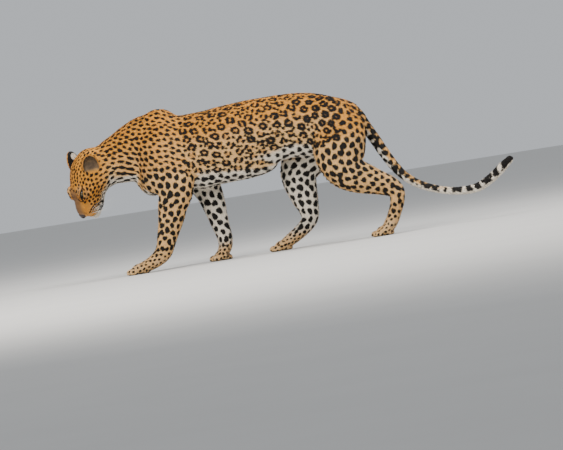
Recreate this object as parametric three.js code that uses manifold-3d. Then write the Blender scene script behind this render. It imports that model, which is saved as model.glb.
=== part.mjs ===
// A leopard walking with its head low, life size, in millimetres.
// +Z is up, the floor is Z = 0, the head points to -X and the animal's left side faces -Y.
// The flesh is one smooth field, made of limbs that follow named stations and of muscles that
// swell it. Each named part is a loft pushed out to that field, then parted by thin flat cuts.
import * as THREE from "three";
import { mergeVertices } from "three/addons/utils/BufferGeometryUtils.js";
import Module from "manifold-3d";

const wasm = await Module();
wasm.setup();

const gap = 0.3; // kept between two parts that meet
const left = -1; // the side that faces -Y
const right = 1;

// Where the leopard's own parts lie along and above the floor.
const noseTip = { x: -722, y: -30, z: 226 };
const headPitch = 17; // degrees that the face leans forward of straight down
const headTurn = 36; // degrees that the forehead turns to the animal's left
const eyeRadius = 13.5;
const lidThickness = 2.2;
const earLength = 64;
const tailTipRadius = 13;

const coat = {
  tawny: 0xd9a35e,
  pale: 0xe9dcc6,
  nose: 0x3a2a28,
  eye: 0x8a8f4a,
};

// One station of a limb: x and z of its middle, half its depth seen from the side, half its
// width seen along it, and how far its middle is from the body's midline.
const station = (x, z, deep, wide, y = 0) => ({ x, y, z, deep, wide });

const trunkStations = [
  station(-468, 408, 92, 66),
  station(-440, 398, 122, 84),
  station(-400, 393, 131, 92),
  station(-350, 393, 131, 99),
  station(-300, 394, 132, 104),
  station(-250, 396, 132, 106),
  station(-197, 403, 130, 106),
  station(-143, 409, 127, 104),
  station(-91, 416, 123, 99),
  station(-40, 423, 116, 93),
  station(17, 429, 111, 88),
  station(79, 426, 111, 88),
  station(137, 418, 107, 90),
  station(188, 408, 96, 86),
  station(228, 402, 80, 70),
  station(252, 400, 58, 46),
];

const neckStations = [
  station(-420, 425, 126, 84, 0),
  station(-470, 427, 117, 76, -2),
  station(-508, 424, 101, 71, -5),
  station(-546, 415, 88, 66, -9),
  station(-584, 404, 79, 62, -14),
  station(-616, 388, 68, 60, -20),
  station(-644, 374, 58, 56, -25),
];

const tailStations = [
  station(215, 452, 42, 44),
  station(248, 446, 34, 34),
  station(276, 424, 26.5, 26),
  station(300, 389, 20.5, 20),
  station(327, 336, 19.5, 19),
  station(354, 280, 18.6, 18),
  station(381, 231, 17.2, 17),
  station(414, 189, 15.4, 15.4),
  station(458, 156, 14, 14),
  station(507, 133, 13.3, 13.3),
  station(558, 118, 13.1, 13.1),
  station(610, 111, 14.3, 14.3),
  station(657, 115, 15.6, 15.6),
  station(695, 131, 16.4, 16.4),
  station(730, 154, 16.4, 16.4),
  station(759, 176, 15.8, 15.8),
  station(780, 192, tailTipRadius, tailTipRadius),
];

// Each leg runs from inside the trunk to its toes. y is counted outwards from the midline.
const legStations = {
  front_left: [
    station(-404, 420, 66, 30, 66),
    station(-412, 362, 70, 36, 74),
    station(-388, 304, 66, 40, 76),
    station(-388, 262, 60, 38, 74),
    station(-405, 222, 52, 34, 71),
    station(-415, 186, 47, 31, 68),
    station(-427, 152, 41, 28.5, 66),
    station(-440, 119, 36, 26, 64),
    station(-451, 88, 32, 26, 63),
    station(-464, 62, 30, 28, 62),
    station(-488, 42, 26, 30, 62),
    station(-518, 28, 22, 33, 62),
    station(-548, 20, 18, 34, 62),
    station(-572, 14, 12, 30, 62),
  ],
  front_right: [
    station(-372, 420, 66, 30, 66),
    station(-352, 366, 66, 36, 72),
    station(-312, 318, 60, 40, 74),
    station(-290, 280, 55, 38, 72),
    station(-276, 240, 47, 34, 69),
    station(-267, 200, 41.5, 30, 66),
    station(-261, 163, 35.5, 27.5, 63),
    station(-256, 130, 31.5, 26, 61),
    station(-250, 100, 28.5, 27, 60),
    station(-246, 72, 26.5, 29, 59),
    station(-250, 46, 24, 32, 58),
    station(-262, 26, 20, 34, 58),
    station(-276, 16, 13, 30, 58),
  ],
  hind_left: [
    station(214, 408, 84, 40, 52),
    station(203, 360, 92, 46, 66),
    station(193, 305, 88, 48, 78),
    station(199, 260, 74, 46, 84),
    station(228, 228, 62, 41, 84),
    station(270, 206, 53, 36, 80),
    station(312, 186, 43, 30, 76),
    station(348, 168, 36, 25, 73),
    station(370, 146, 29.5, 23, 71),
    station(368, 112, 25, 23.5, 70),
    station(356, 80, 23, 25, 70),
    station(341, 50, 23, 28, 70),
    station(324, 28, 21, 31, 70),
    station(306, 16, 13, 29, 70),
  ],
  hind_right: [
    station(180, 400, 84, 40, 50),
    station(128, 352, 84, 46, 66),
    station(72, 305, 76, 47, 80),
    station(46, 262, 66, 44, 88),
    station(46, 218, 57, 40, 90),
    station(53, 176, 48, 34, 88),
    station(60, 138, 38, 28, 86),
    station(62, 106, 31, 24, 85),
    station(48, 80, 26.5, 24, 84),
    station(18, 56, 24, 26, 83),
    station(-12, 38, 22.5, 29, 82),
    station(-38, 24, 19, 31, 82),
    station(-56, 15, 12.5, 29, 82),
  ],
};

// Where each paw stands: the middle of its toes' knuckles, and how wide it spreads.
const paws = {
  front_left: { x: -566, y: 62, spread: 1.04 },
  front_right: { x: -276, y: 58, spread: 1.0 },
  hind_left: { x: 296, y: 70, spread: 0.95 },
  hind_right: { x: -62, y: 82, spread: 0.95 },
};
const toeOffsets = [-27, -9.6, 9.6, 27]; // across the paw
const toeReach = [-9, 3, 3, -9]; // the two middle toes stand ahead of the others

// A muscle or a bone under the skin: middle, three half sizes along x, y and z, and a turn
// about the side-to-side axis in degrees, positive where its front end rises.
const muscle = (x, y, z, rx, ry, rz, turn = 0) => ({ x, y, z, rx, ry, rz, turn });

const bodyMuscles = [];
for (const side of [left, right]) {
  const shift = side === left ? 0 : 12; // the far shoulder has swung further back
  bodyMuscles.push(
    muscle(-412 + shift, 34 * side, 500, 50, 24, 58, -14), // top of the shoulder blade
    muscle(-425 + shift, 74 * side, 400, 66, 38, 96, 10), // shoulder
    muscle(-458 + shift, 62 * side, 322, 44, 34, 50, 0), // point of the shoulder
    muscle(-385 + shift, 82 * side, 335, 52, 32, 58, -24), // back of the upper arm
    muscle(180, 62 * side, 452, 66, 34, 56, 12), // rump
    muscle(215, 76 * side, 352, 58, 40, 88, -8), // back of the thigh
  );
}
bodyMuscles.push(
  muscle(-470, 0, 318, 44, 52, 54, -10), // breast
  muscle(-180, 0, 320, 150, 62, 46, 6), // ribs and belly, lower line
  muscle(-40, 0, 497, 190, 34, 34, 0), // loin along the back
  muscle(-556, -10, 372, 60, 46, 40, 8), // throat
);

// The head's forms in its own frame: back from the nose tip, to the side, and up.
const form = (back, side, up, rBack, rSide, rUp, turn = 0) => ({
  back, side, up, rBack, rSide, rUp, turn,
});
const headMiddle = [
  form(150, 0, 16, 80, 56, 54), // braincase
  form(194, 0, 0, 50, 54, 50), // back of the skull
  form(100, 0, 14, 56, 45, 48), // forehead
  form(50, 0, 6, 46, 29, 32, 12), // bridge of the muzzle
  form(20, 0, 5, 25, 16, 14, 20), // nose
  form(29, 0, -49, 27, 21.5, 15.5, 4), // chin
  form(98, 0, -42, 66, 36, 25, 4), // floor of the jaw
  form(136, 0, -44, 56, 42, 34), // root of the throat
];
const headSides = [
  form(146, 41, -18, 52, 33, 42), // cheek
  form(106, 42, 6, 38, 23, 27), // cheekbone
  form(33, 16, -19, 27, 19, 22), // whisker pad
  form(54, 17, -46, 28, 17, 15), // lower lip
  form(80, 32, 36, 26, 17, 15, 6), // brow
  form(178, 34, 20, 26, 22, 24), // root of the ear
  form(80, 27, -12, 44, 24, 32), // side of the face
];
// The eye looks ahead, outwards and up, and its lids slant down to the nose.
const eyeFrom = { back: 100, side: 20, up: 26 };
const eyeLooks = { back: -0.6, side: 0.58, up: 0.55 };
const lidSlant = { back: 0.82, side: 0.34, up: 0.46 };
const lidOpening = { long: 13.4, tall: 4.8, deep: 12 };
// The ear stands on the back of the skull, swung back, with its cup to the side.
const earRoot = { back: 164, side: 50, up: 25 };
const earAxis = { back: 0.84, side: 0.16, up: 0.5 };
const earFacing = { back: -0.42, side: 0.84, up: 0.2 };
// Half sizes of the ear's egg, its wall and rim, how far forward its cup stands, and as shares of
// the ear's length, how far up its middle is and its half height.
const earShell = { thick: 16, wide: 29, wall: 4.6, rim: 3, cupShift: 9, middleUp: 0.32, tallShare: 0.68 };
// The mouth runs back from under the nose to its corner below the eye.
const mouthLine = [[-30, -37], [6, -37], [20, -39.5], [34, -40.5], [46, -43.5], [56, -48], [66, -49]];
const lipGroove = 1.5;
const nosePad = { back: 5, up: 6, rBack: 12, rSide: 17, rUp: 12 };
const nostril = { back: -3, side: 8.2, up: 5, rBack: 8, rSide: 3.2, rUp: 3.8, rounds: [10, 7] };
const nostrilRuns = { back: 0.9, side: 0.35, up: 0.1 };

const radians = THREE.MathUtils.degToRad;

const headFrame = (() => {
  const pitch = radians(headPitch);
  const turn = radians(headTurn);
  const ahead = new THREE.Vector3(-Math.sin(pitch), 0, -Math.cos(pitch));
  const crown = new THREE.Vector3(-Math.cos(pitch), 0, Math.sin(pitch));
  const nearSide = new THREE.Vector3(0, -1, 0);
  const up = crown.clone().multiplyScalar(Math.cos(turn)).addScaledVector(nearSide, Math.sin(turn));
  const side = nearSide.clone().multiplyScalar(Math.cos(turn)).addScaledVector(crown, -Math.sin(turn));
  const origin = new THREE.Vector3(noseTip.x, noseTip.y, noseTip.z);
  return { ahead, up, side, origin };
})();

// The matrix that carries a shape drawn with x back, y to the animal's right and z up the head.
const headMatrix = new THREE.Matrix4()
  .makeBasis(headFrame.ahead.clone().negate(), headFrame.side.clone().negate(), headFrame.up)
  .setPosition(headFrame.origin);
const headInverse = headMatrix.clone().invert();

const headPoint = (back, side, up) => new THREE.Vector3(back, side, up).applyMatrix4(headMatrix);

function smoothStep(a, b, c, d, t) {
  const t2 = t * t;
  const t3 = t2 * t;
  return 0.5 * (2 * b + (c - a) * t + (2 * a - 5 * b + 4 * c - d) * t2 + (3 * b - a - 3 * c + d) * t3);
}

// A limb: its stations joined by a smooth run of small steps, each with its own cross-section.
function limb(stations, side = 1, egg = 0, stepsEach = 5) {
  const points = [];
  const last = stations.length - 1;
  for (let i = 0; i < last; i++) {
    const around = [Math.max(i - 1, 0), i, i + 1, Math.min(i + 2, last)].map((k) => stations[k]);
    for (let s = 0; s < stepsEach; s++) {
      const mix = (key) => smoothStep(...around.map((at) => at[key]), s / stepsEach);
      points.push(station(mix("x"), mix("z"), mix("deep"), mix("wide"), mix("y") * side));
    }
  }
  points.push({ ...stations[last], y: stations[last].y * side });
  return { points, egg, box: boxOf(points, 40) };
}

function boxOf(points, margin) {
  const box = new THREE.Box3();
  for (const p of points) {
    const reach = Math.max(p.deep, p.wide) + margin;
    box.expandByPoint(new THREE.Vector3(p.x - reach, p.y - reach, p.z - reach));
    box.expandByPoint(new THREE.Vector3(p.x + reach, p.y + reach, p.z + reach));
  }
  return box;
}

const far = 1e3;

// How far a point is outside a limb, negative inside it.
function limbField(l, p) {
  if (!l.box.containsPoint(p)) return far;
  let nearest = Infinity;
  let found = 0;
  let share = 0;
  for (let i = 0; i < l.points.length - 1; i++) {
    const a = l.points[i];
    const b = l.points[i + 1];
    const dx = b.x - a.x;
    const dy = b.y - a.y;
    const dz = b.z - a.z;
    const along = (p.x - a.x) * dx + (p.y - a.y) * dy + (p.z - a.z) * dz;
    const t = Math.min(1, Math.max(0, along / (dx * dx + dy * dy + dz * dz)));
    const ex = p.x - a.x - t * dx;
    const ey = p.y - a.y - t * dy;
    const ez = p.z - a.z - t * dz;
    const size = a.deep + t * (b.deep - a.deep);
    const d = Math.sqrt(ex * ex + ey * ey + ez * ez) - 0.5 * size;
    if (d < nearest) {
      nearest = d;
      found = i;
      share = t;
    }
  }
  const a = l.points[found];
  const b = l.points[found + 1];
  const mix = (key) => a[key] + share * (b[key] - a[key]);
  const ax = b.x - a.x;
  const az = b.z - a.z;
  const length = Math.hypot(ax, az);
  const ex = p.x - mix("x");
  const ey = p.y - mix("y");
  const ez = p.z - mix("z");
  const along = (ex * ax + ez * az) / length;
  const across = (-ex * az + ez * ax) / length;
  const deep = mix("deep");
  const upward = (across / deep) * (ax < 0 ? -1 : 1);
  const wide = mix("wide") * (1 + l.egg * Math.max(-1, Math.min(1, upward)));
  const q = Math.hypot(along, across, ey);
  if (q < 1e-6) return -Math.min(deep, wide);
  const r = Math.hypot(along / Math.min(deep, wide), across / deep, ey / wide);
  return q * (1 - 1 / r);
}

// How far a point is outside an egg-shaped form, given in that form's own frame.
function eggField(x, y, z, rx, ry, rz) {
  const k0 = Math.hypot(x / rx, y / ry, z / rz);
  const k1 = Math.hypot(x / (rx * rx), y / (ry * ry), z / (rz * rz));
  return k1 < 1e-9 ? -Math.min(rx, ry, rz) : (k0 * (k0 - 1)) / k1;
}

function muscleField(m, p) {
  const reach = Math.max(m.rx, m.ry, m.rz) + 60;
  const ex = p.x - m.x;
  const ey = p.y - m.y;
  const ez = p.z - m.z;
  if (Math.abs(ex) > reach || Math.abs(ey) > reach || Math.abs(ez) > reach) return far;
  const c = Math.cos(radians(m.turn));
  const s = Math.sin(radians(m.turn));
  return eggField(ex * c - ez * s, ey, ex * s + ez * c, m.rx, m.ry, m.rz);
}

function blend(a, b, k) {
  const h = Math.max(k - Math.abs(a - b), 0) / k;
  return Math.min(a, b) - (h * h * k) / 4;
}

const toesOf = (name) => {
  const paw = paws[name];
  const side = name.endsWith("left") ? left : right;
  const forms = [];
  toeOffsets.forEach((offset, i) => {
    const y = (paw.y + offset * paw.spread) * side;
    const x = paw.x - toeReach[i];
    forms.push(muscle(x + 6, y, 21, 19, 10.5, 14, -18));
    forms.push(muscle(x - 17, y + 0.1 * offset * side, 9, 16, 10.6, 13, 0));
  });
  forms.push(muscle(paw.x + 24, paw.y * side, 8, 23, 27, 14));
  return forms;
};

const trunk = limb(trunkStations, 1, 0.14);
const neck = limb(neckStations, 1, 0.1);
const tail = limb(tailStations);
const legNames = Object.keys(legStations);
const legs = Object.fromEntries(
  legNames.map((name) => [name, limb(legStations[name], name.endsWith("left") ? left : right)]),
);
const toes = Object.fromEntries(legNames.map((name) => [name, toesOf(name)]));

const headForms = [
  ...headMiddle,
  ...headSides,
  ...headSides.map((f) => ({ ...f, side: -f.side })),
];

function headField(p) {
  const q = p.clone().applyMatrix4(headInverse);
  if (q.x < -60 || q.x > 330 || Math.abs(q.y) > 150 || Math.abs(q.z) > 150) return far;
  let d = far;
  for (const f of headForms) {
    const c = Math.cos(radians(f.turn));
    const s = Math.sin(radians(f.turn));
    const x = q.x - f.back;
    const z = q.z - f.up;
    d = blend(d, eggField(x * c + z * s, q.y - f.side, z * c - x * s, f.rBack, f.rSide, f.rUp), 11);
  }
  return d;
}

const legBlend = 30;

// The whole flesh, as a distance that is negative inside.
function flesh(p) {
  let d = limbField(trunk, p);
  d = blend(d, limbField(neck, p), 36);
  for (const m of bodyMuscles) d = blend(d, muscleField(m, p), 26);
  for (const name of legNames) {
    let leg = limbField(legs[name], p);
    for (const m of toes[name]) leg = blend(leg, muscleField(m, p), 7);
    d = blend(d, leg, legBlend);
  }
  d = blend(d, limbField(tail, p), 18);
  return blend(d, headField(p), 26);
}

// The point where a ray from inside leaves the field.
function pushOut(field, from, direction, reach = 200) {
  const at = new THREE.Vector3();
  const value = (s) => field(at.copy(direction).multiplyScalar(s).add(from));
  let high = 0;
  while (value(high) < 0 && high < reach) high += 4;
  let low = Math.max(0, high - 4);
  for (let i = 0; i < 12; i++) {
    const middle = (low + high) / 2;
    if (value(middle) < 0) low = middle;
    else high = middle;
  }
  return from.clone().addScaledVector(direction, (low + high) / 2);
}

function slopeOf(field, p, step = 0.5) {
  const slope = new THREE.Vector3();
  const q = new THREE.Vector3();
  for (let axis = 0; axis < 3; axis++) {
    q.copy(p).setComponent(axis, p.getComponent(axis) + step);
    const ahead = field(q);
    q.setComponent(axis, p.getComponent(axis) - step);
    slope.setComponent(axis, (ahead - field(q)) / (2 * step));
  }
  return slope;
}

// A closed skin on the field's zero level, with one corner in every cell that the level
// crosses, each moved onto the level itself.
function skinOf(field, box, cells) {
  const size = box.getSize(new THREE.Vector3()).toArray();
  const count = size.map((length, axis) => Math.ceil(length / cells[axis]) + 1);
  const cell = Math.min(...cells);
  const [nx, ny, nz] = count;
  const indexOf = (i, j, k) => i + nx * (j + ny * k);
  const pointAt = (i, j, k) =>
    new THREE.Vector3(box.min.x + i * cells[0], box.min.y + j * cells[1], box.min.z + k * cells[2]);
  const values = new Float64Array(nx * ny * nz).fill(cell);
  for (let k = 1; k < nz - 1; k++) {
    for (let j = 1; j < ny - 1; j++) {
      for (let i = 1; i < nx - 1; i++) values[indexOf(i, j, k)] = field(pointAt(i, j, k));
    }
  }
  settle(values, count);
  const cornerOf = new Int32Array(nx * ny * nz).fill(-1);
  const corners = [];
  for (let k = 0; k < nz - 1; k++) {
    for (let j = 0; j < ny - 1; j++) {
      for (let i = 0; i < nx - 1; i++) {
        const crossing = new THREE.Vector3();
        let crossings = 0;
        for (let c = 0; c < 8; c++) {
          const at = [c & 1, (c >> 1) & 1, (c >> 2) & 1];
          const here = values[indexOf(i + at[0], j + at[1], k + at[2])];
          for (let axis = 0; axis < 3; axis++) {
            if (at[axis]) continue;
            const to = at.map((v, n) => (n === axis ? 1 : v));
            const there = values[indexOf(i + to[0], j + to[1], k + to[2])];
            if (here < 0 === there < 0) continue;
            const share = here / (here - there);
            crossing.add(new THREE.Vector3(...at.map((v, n) => (n === axis ? share : v))));
            crossings++;
          }
        }
        if (!crossings) continue;
        crossing.divideScalar(crossings);
        const p = pointAt(i + crossing.x, j + crossing.y, k + crossing.z);
        for (let step = 0; step < 3; step++) {
          const value = field(p);
          if (Math.abs(value) > cell) break;
          const slope = slopeOf(field, p);
          const push = -value / Math.max(slope.lengthSq(), 0.2);
          p.addScaledVector(slope, Math.max(-0.3 * cell, Math.min(0.3 * cell, push)));
        }
        cornerOf[indexOf(i, j, k)] = corners.length;
        corners.push(p);
      }
    }
  }
  const triangles = [];
  const strides = [1, nx, nx * ny];
  for (let k = 0; k < nz - 1; k++) {
    for (let j = 0; j < ny - 1; j++) {
      for (let i = 0; i < nx - 1; i++) {
        const here = indexOf(i, j, k);
        for (let axis = 0; axis < 3; axis++) {
          const inside = values[here] < 0;
          if (inside === values[here + strides[axis]] < 0) continue;
          const a = strides[(axis + 1) % 3];
          const b = strides[(axis + 2) % 3];
          let quad = [here - a - b, here - b, here, here - a].map((n) => cornerOf[n]);
          if (!inside) quad = quad.reverse();
          const across = corners[quad[0]].distanceTo(corners[quad[2]]);
          const other = corners[quad[1]].distanceTo(corners[quad[3]]);
          const [p, q, r, s] = across < other ? quad : [quad[1], quad[2], quad[3], quad[0]];
          triangles.push(p, q, r, p, r, s);
        }
      }
    }
  }
  return geometryOf(corners, triangles);
}

// Fills the few samples where the flesh would touch itself only along an edge or at a point.
function settle(values, [nx, ny, nz]) {
  const strides = [1, nx, nx * ny];
  const fill = (n) => {
    values[n] = -0.01;
    return true;
  };
  let changed = true;
  while (changed) {
    changed = false;
    for (let n = 0; n < values.length - strides[2] - strides[1] - 1; n++) {
      for (let axis = 0; axis < 3; axis++) {
        const a = strides[axis];
        const b = strides[(axis + 1) % 3];
        const [p, q, r, s] = [n, n + a, n + a + b, n + b].map((m) => values[m] < 0);
        if (p === r && q === s && p !== q) changed = fill(p ? n + a : n);
      }
      const block = [];
      for (let c = 0; c < 8; c++) {
        block.push(n + (c & 1) + ((c >> 1) & 1) * strides[1] + (c >> 2) * strides[2]);
      }
      const inside = block.filter((m) => values[m] < 0).length;
      for (let c = 0; c < 4; c++) {
        const same = values[block[c]] < 0 === values[block[7 - c]] < 0;
        if (!same) continue;
        const lone = values[block[c]] < 0 ? inside === 2 : inside === 6;
        if (lone) changed = fill(inside === 2 ? block[c ^ 1] : block[c]);
      }
    }
  }
}

function geometryOf(corners, triangles) {
  const positions = new Float32Array(corners.flatMap((p) => [p.x, p.y, p.z]));
  const geometry = new THREE.BufferGeometry();
  geometry.setAttribute("position", new THREE.BufferAttribute(positions, 3));
  geometry.setIndex(triangles);
  return geometry;
}

function solidOf(geometry) {
  const plain = geometry.clone();
  plain.deleteAttribute("normal");
  plain.deleteAttribute("uv");
  const merged = mergeVertices(plain, 1e-3);
  return new wasm.Manifold(
    new wasm.Mesh({
      numProp: 3,
      vertProperties: merged.attributes.position.array,
      triVerts: new Uint32Array(merged.index.array),
    }),
  );
}

// Only the largest closed surface of a solid is kept.
function largest(solid) {
  return solid.decompose().sort((a, b) => b.volume() - a.volume())[0];
}

function meshOf(name, solid, colour, roughness = 0.8) {
  const data = largest(solid).getMesh();
  const positions = new Float32Array(data.numVert * 3);
  for (let i = 0; i < data.numVert; i++) {
    positions.set(data.vertProperties.subarray(i * data.numProp, i * data.numProp + 3), i * 3);
  }
  const geometry = new THREE.BufferGeometry();
  geometry.setAttribute("position", new THREE.BufferAttribute(positions, 3));
  geometry.setIndex(new THREE.BufferAttribute(data.triVerts, 1));
  geometry.computeVertexNormals();
  const mesh = new THREE.Mesh(
    geometry,
    new THREE.MeshStandardMaterial({ color: colour, roughness, metalness: 0 }),
  );
  mesh.name = name;
  return mesh;
}

// A cut is a flat plane through a point, facing the side that a part keeps.
const plane = (x, y, z, nx, ny, nz) => ({
  at: new THREE.Vector3(x, y, z),
  facing: new THREE.Vector3(nx, ny, nz).normalize(),
});
const flipped = (cut) => ({ at: cut.at, facing: cut.facing.clone().negate() });

const wasteSize = 900; // wider and deeper than any one part that a cut trims

// A big block on the far side of a cut, set back by half the gap, with its own width and depth.
function waste(cut, size = wasteSize, depth = wasteSize) {
  const block = new THREE.BoxGeometry(size, size, depth);
  const turn = new THREE.Quaternion().setFromUnitVectors(new THREE.Vector3(0, 0, 1), cut.facing);
  block.applyQuaternion(turn);
  const middle = cut.at.clone().addScaledVector(cut.facing, gap / 2 - depth / 2);
  block.translate(middle.x, middle.y, middle.z);
  return solidOf(block);
}

const trim = (solid, cuts, size, depth) =>
  cuts.reduce((rest, cut) => rest.subtract(waste(cut, size, depth)), solid);

const floorCut = plane(0, 0, -gap / 2, 0, 0, 1);
const floorSize = 2000; // wider than the whole stride

// Where the parts are cut from one another. Each plane faces away from the trunk.
const neckCut = plane(-492, 0, 430, -1, 0, 0.05);
const headCut = plane(-600, -17, 402, -1, 0, -0.13);
const tailCuts = [
  plane(290, 0, 408, 0.62, 0, -0.78),
  plane(403, 0, 203, 0.72, 0, -0.69),
  plane(585, 0, 113, 1, 0, -0.05),
];
const tailFront = plane(258, 0, 384, 0.91, 0, 0.42); // parts the tail from the back of the thighs
const legCuts = {
  front_left: [plane(-400, -75, 254, -0.1, 0, -1), plane(-455, -63, 78, -0.5, 0, -1)],
  front_right: [plane(-296, 74, 254, 0.12, 0, -1), plane(-251, 60, 92, 0, 0, -1)],
  hind_left: [
    plane(194, -80, 300, 0.1, -0.06, -1),
    plane(240, -84, 222, 0.86, 0, -0.5),
    plane(364, -70, 120, 0, 0, -1),
  ],
  hind_right: [
    plane(70, 84, 300, -0.12, 0.06, -1),
    plane(46, 90, 218, 0, 0, -1),
    plane(52, 84, 86, -0.75, 0, -0.66),
  ],
};
const legParts = {
  front_left: ["forearm", "paw"],
  front_right: ["forearm", "paw"],
  hind_left: ["thigh", "shank", "foot"],
  hind_right: ["thigh", "shank", "foot"],
};
// How far apart the corners of each part's skin stand along x, y and z.
const cells = {
  torso: [42, 26, 26],
  neck: [28, 24, 24],
  tail_root: [16, 14, 22],
  tail_middle: [22, 11, 12],
  tail_tip: [19, 11, 12],
  thigh: [20, 18, 22],
  shank: [18, 14, 20],
  forearm: [15, 14, 26],
  paw: [13, 9.5, 11],
  foot: [13, 9.5, 11],
  head: [15, 11.5, 11.5],
};

// How far beyond its cuts the flesh of a part is drawn before it is trimmed, in corner steps.
const spareSteps = 0.8;

const parts = [];

const boxBetween = (x0, y0, z0, x1, y1, z1) =>
  new THREE.Box3(new THREE.Vector3(x0, y0, z0), new THREE.Vector3(x1, y1, z1));

// The flesh on the kept side of every cut, left a little long so that the cuts can trim it.
function fleshWithin(cuts, cells) {
  const cell = Math.max(...cells);
  const spare = spareSteps * cell;
  const to = new THREE.Vector3();
  return (p) => {
    let outside = -Infinity;
    for (const cut of cuts) outside = Math.max(outside, -to.copy(p).sub(cut.at).dot(cut.facing) - spare);
    return outside > cell ? outside : Math.max(flesh(p), outside);
  };
}

function carve(cuts, box, cell) {
  return trim(solidOf(skinOf(fleshWithin(cuts, cell), box, cell)), cuts);
}

// A block beyond some cuts that takes one limb off the trunk and leaves the rest of it whole.
function limbBlock(box, cuts) {
  const size = box.getSize(new THREE.Vector3());
  const middle = box.getCenter(new THREE.Vector3());
  const block = new THREE.BoxGeometry(size.x, size.y, size.z).translate(middle.x, middle.y, middle.z);
  const closer = cuts.map((cut) => ({ ...cut, at: cut.at.clone().addScaledVector(cut.facing, -gap) }));
  return trim(solidOf(block), closer);
}

// The boxes that the trunk, the neck, the head and the three lengths of the tail are drawn in.
const boxes = {
  torso: boxBetween(-540, -154, 225, 340, 154, 590),
  neck: boxBetween(-640, -120, 270, -460, 120, 580),
  tail_root: boxBetween(250, -50, 180, 440, 50, 460),
  tail_middle: boxBetween(370, -40, 80, 610, 40, 240),
  tail_tip: boxBetween(560, -40, 80, 820, 40, 240),
  head: boxBetween(-20, -124, -140, 330, 124, 124), // in the head's own frame
};
const tailSocket = boxBetween(240, -60, 200, 360, 60, 480); // where the tail leaves the trunk
// Where a leg leaves the trunk: how far the block reaches fore and aft, outwards, down and up.
const legSocket = { along: 170, outward: 170, bottom: 180, above: 60 };
// How far a leg's own box passes its top cut, and the lowest height of its upper lengths.
const legReach = { above: 90, bottom: 40 };

function makeTrunk() {
  let solid = carve([flipped(neckCut)], boxes.torso, cells.torso);
  solid = solid.subtract(limbBlock(tailSocket, [tailCuts[0], tailFront]));
  const { along, outward, bottom, above } = legSocket;
  for (const name of legNames) {
    const cut = legCuts[name][0];
    const [low, high] = name.endsWith("left") ? [-outward, 0] : [0, outward];
    const { x, z } = cut.at;
    const box = boxBetween(x - along, low, bottom, x + along, high, z + above);
    solid = solid.subtract(limbBlock(box, [cut]));
  }
  parts.push(meshOf("torso", solid, coat.tawny));
}

function makeNeck() {
  parts.push(meshOf("neck", carve([neckCut, flipped(headCut)], boxes.neck, cells.neck), coat.tawny));
}

function makeTail() {
  const lengths = ["tail_root", "tail_middle", "tail_tip"];
  lengths.forEach((name, i) => {
    const last = i === lengths.length - 1;
    const cuts = i === 0 ? [tailCuts[0], tailFront] : [tailCuts[i]];
    if (!last) cuts.push(flipped(tailCuts[i + 1]));
    parts.push(meshOf(name, carve(cuts, boxes[name], cells[name]), last ? coat.pale : coat.tawny));
  });
}

// The box around a leg between two heights, on that leg's own side.
function legBox(name, low, high) {
  const box = legs[name].box.clone();
  box.min.z = low;
  box.max.z = high;
  if (name.endsWith("left")) box.max.y = 0;
  else box.min.y = 0;
  return box;
}

function makeLegs() {
  for (const name of legNames) {
    const cuts = legCuts[name];
    legParts[name].forEach((part, i) => {
      const own = [cuts[i]];
      const last = i === cuts.length - 1;
      if (!last) own.push(flipped(cuts[i + 1]));
      const cell = cells[part];
      const box = legBox(name, last ? -2 * cell[2] : legReach.bottom, cuts[i].at.z + legReach.above);
      let solid = carve(own, box, cell);
      if (last) solid = trim(solid, [floorCut], floorSize);
      parts.push(meshOf(`${name}_${part}`, solid, coat.tawny));
    });
  }
}

// An egg shape in the head's own frame, turned so that its three axes follow the ones given.
function headEgg(at, radii, axes, rounds = [14, 10]) {
  const egg = new THREE.SphereGeometry(1, rounds[0], rounds[1]);
  egg.scale(radii[0], radii[1], radii[2]);
  egg.applyMatrix4(new THREE.Matrix4().makeBasis(...axes));
  egg.translate(at.x, at.y, at.z);
  egg.applyMatrix4(headMatrix);
  return solidOf(egg);
}

// Sides are counted outwards from the middle of the head.
const local = (place, side) => new THREE.Vector3(place.back, place.side * side, place.up);
const plainAxes = [new THREE.Vector3(1, 0, 0), new THREE.Vector3(0, 1, 0), new THREE.Vector3(0, 0, 1)];

function squareAxes(first, second) {
  const a = first.clone().normalize();
  const b = second.clone().addScaledVector(a, -second.dot(a)).normalize();
  return [a, b, a.clone().cross(b)];
}

// The block that takes the lower jaw off the head: the mouth's line with a small step at its corner.
const jawBlock = { wide: 160, bottom: -120, cornerBack: 4, cornerDown: 5 };

function mouthBlock(grow) {
  const { wide, bottom, cornerBack, cornerDown } = jawBlock;
  const outline = mouthLine.map(([back, up]) => new THREE.Vector2(back, up + grow));
  const [corner] = mouthLine.slice(-1);
  outline.push(new THREE.Vector2(corner[0] + cornerBack + grow, corner[1] - cornerDown));
  outline.push(new THREE.Vector2(corner[0] + cornerBack + grow, bottom));
  outline.push(new THREE.Vector2(mouthLine[0][0], bottom));
  const block = new THREE.ExtrudeGeometry(new THREE.Shape(outline), { depth: wide, bevelEnabled: false });
  block.rotateX(Math.PI / 2);
  block.translate(0, wide / 2, 0);
  return solidOf(block.applyMatrix4(headMatrix));
}

// The groove between the lips, from one corner of the mouth around the front to the other.
const lips = { front: 20, corner: 64, overhang: 14, steps: 22, rings: 30, sides: 5 };

function lipLine() {
  const turns = [];
  for (let i = 0; i <= lips.steps; i++) {
    const angle = Math.PI * (-0.5 + i / lips.steps);
    const ahead = Math.cos(angle);
    const back = lips.front + (lips.corner - lips.front) * (1 - ahead);
    const up = mouthUp(back - lips.overhang * ahead);
    const start = headPoint(back, 0, up);
    const out = headPoint(back - ahead, Math.sin(angle), up).sub(start).normalize();
    turns.push(pushOut(headField, start, out));
  }
  const curve = new THREE.CatmullRomCurve3(turns);
  return solidOf(closedTube(curve, lips.rings, lipGroove, lips.sides));
}

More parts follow.
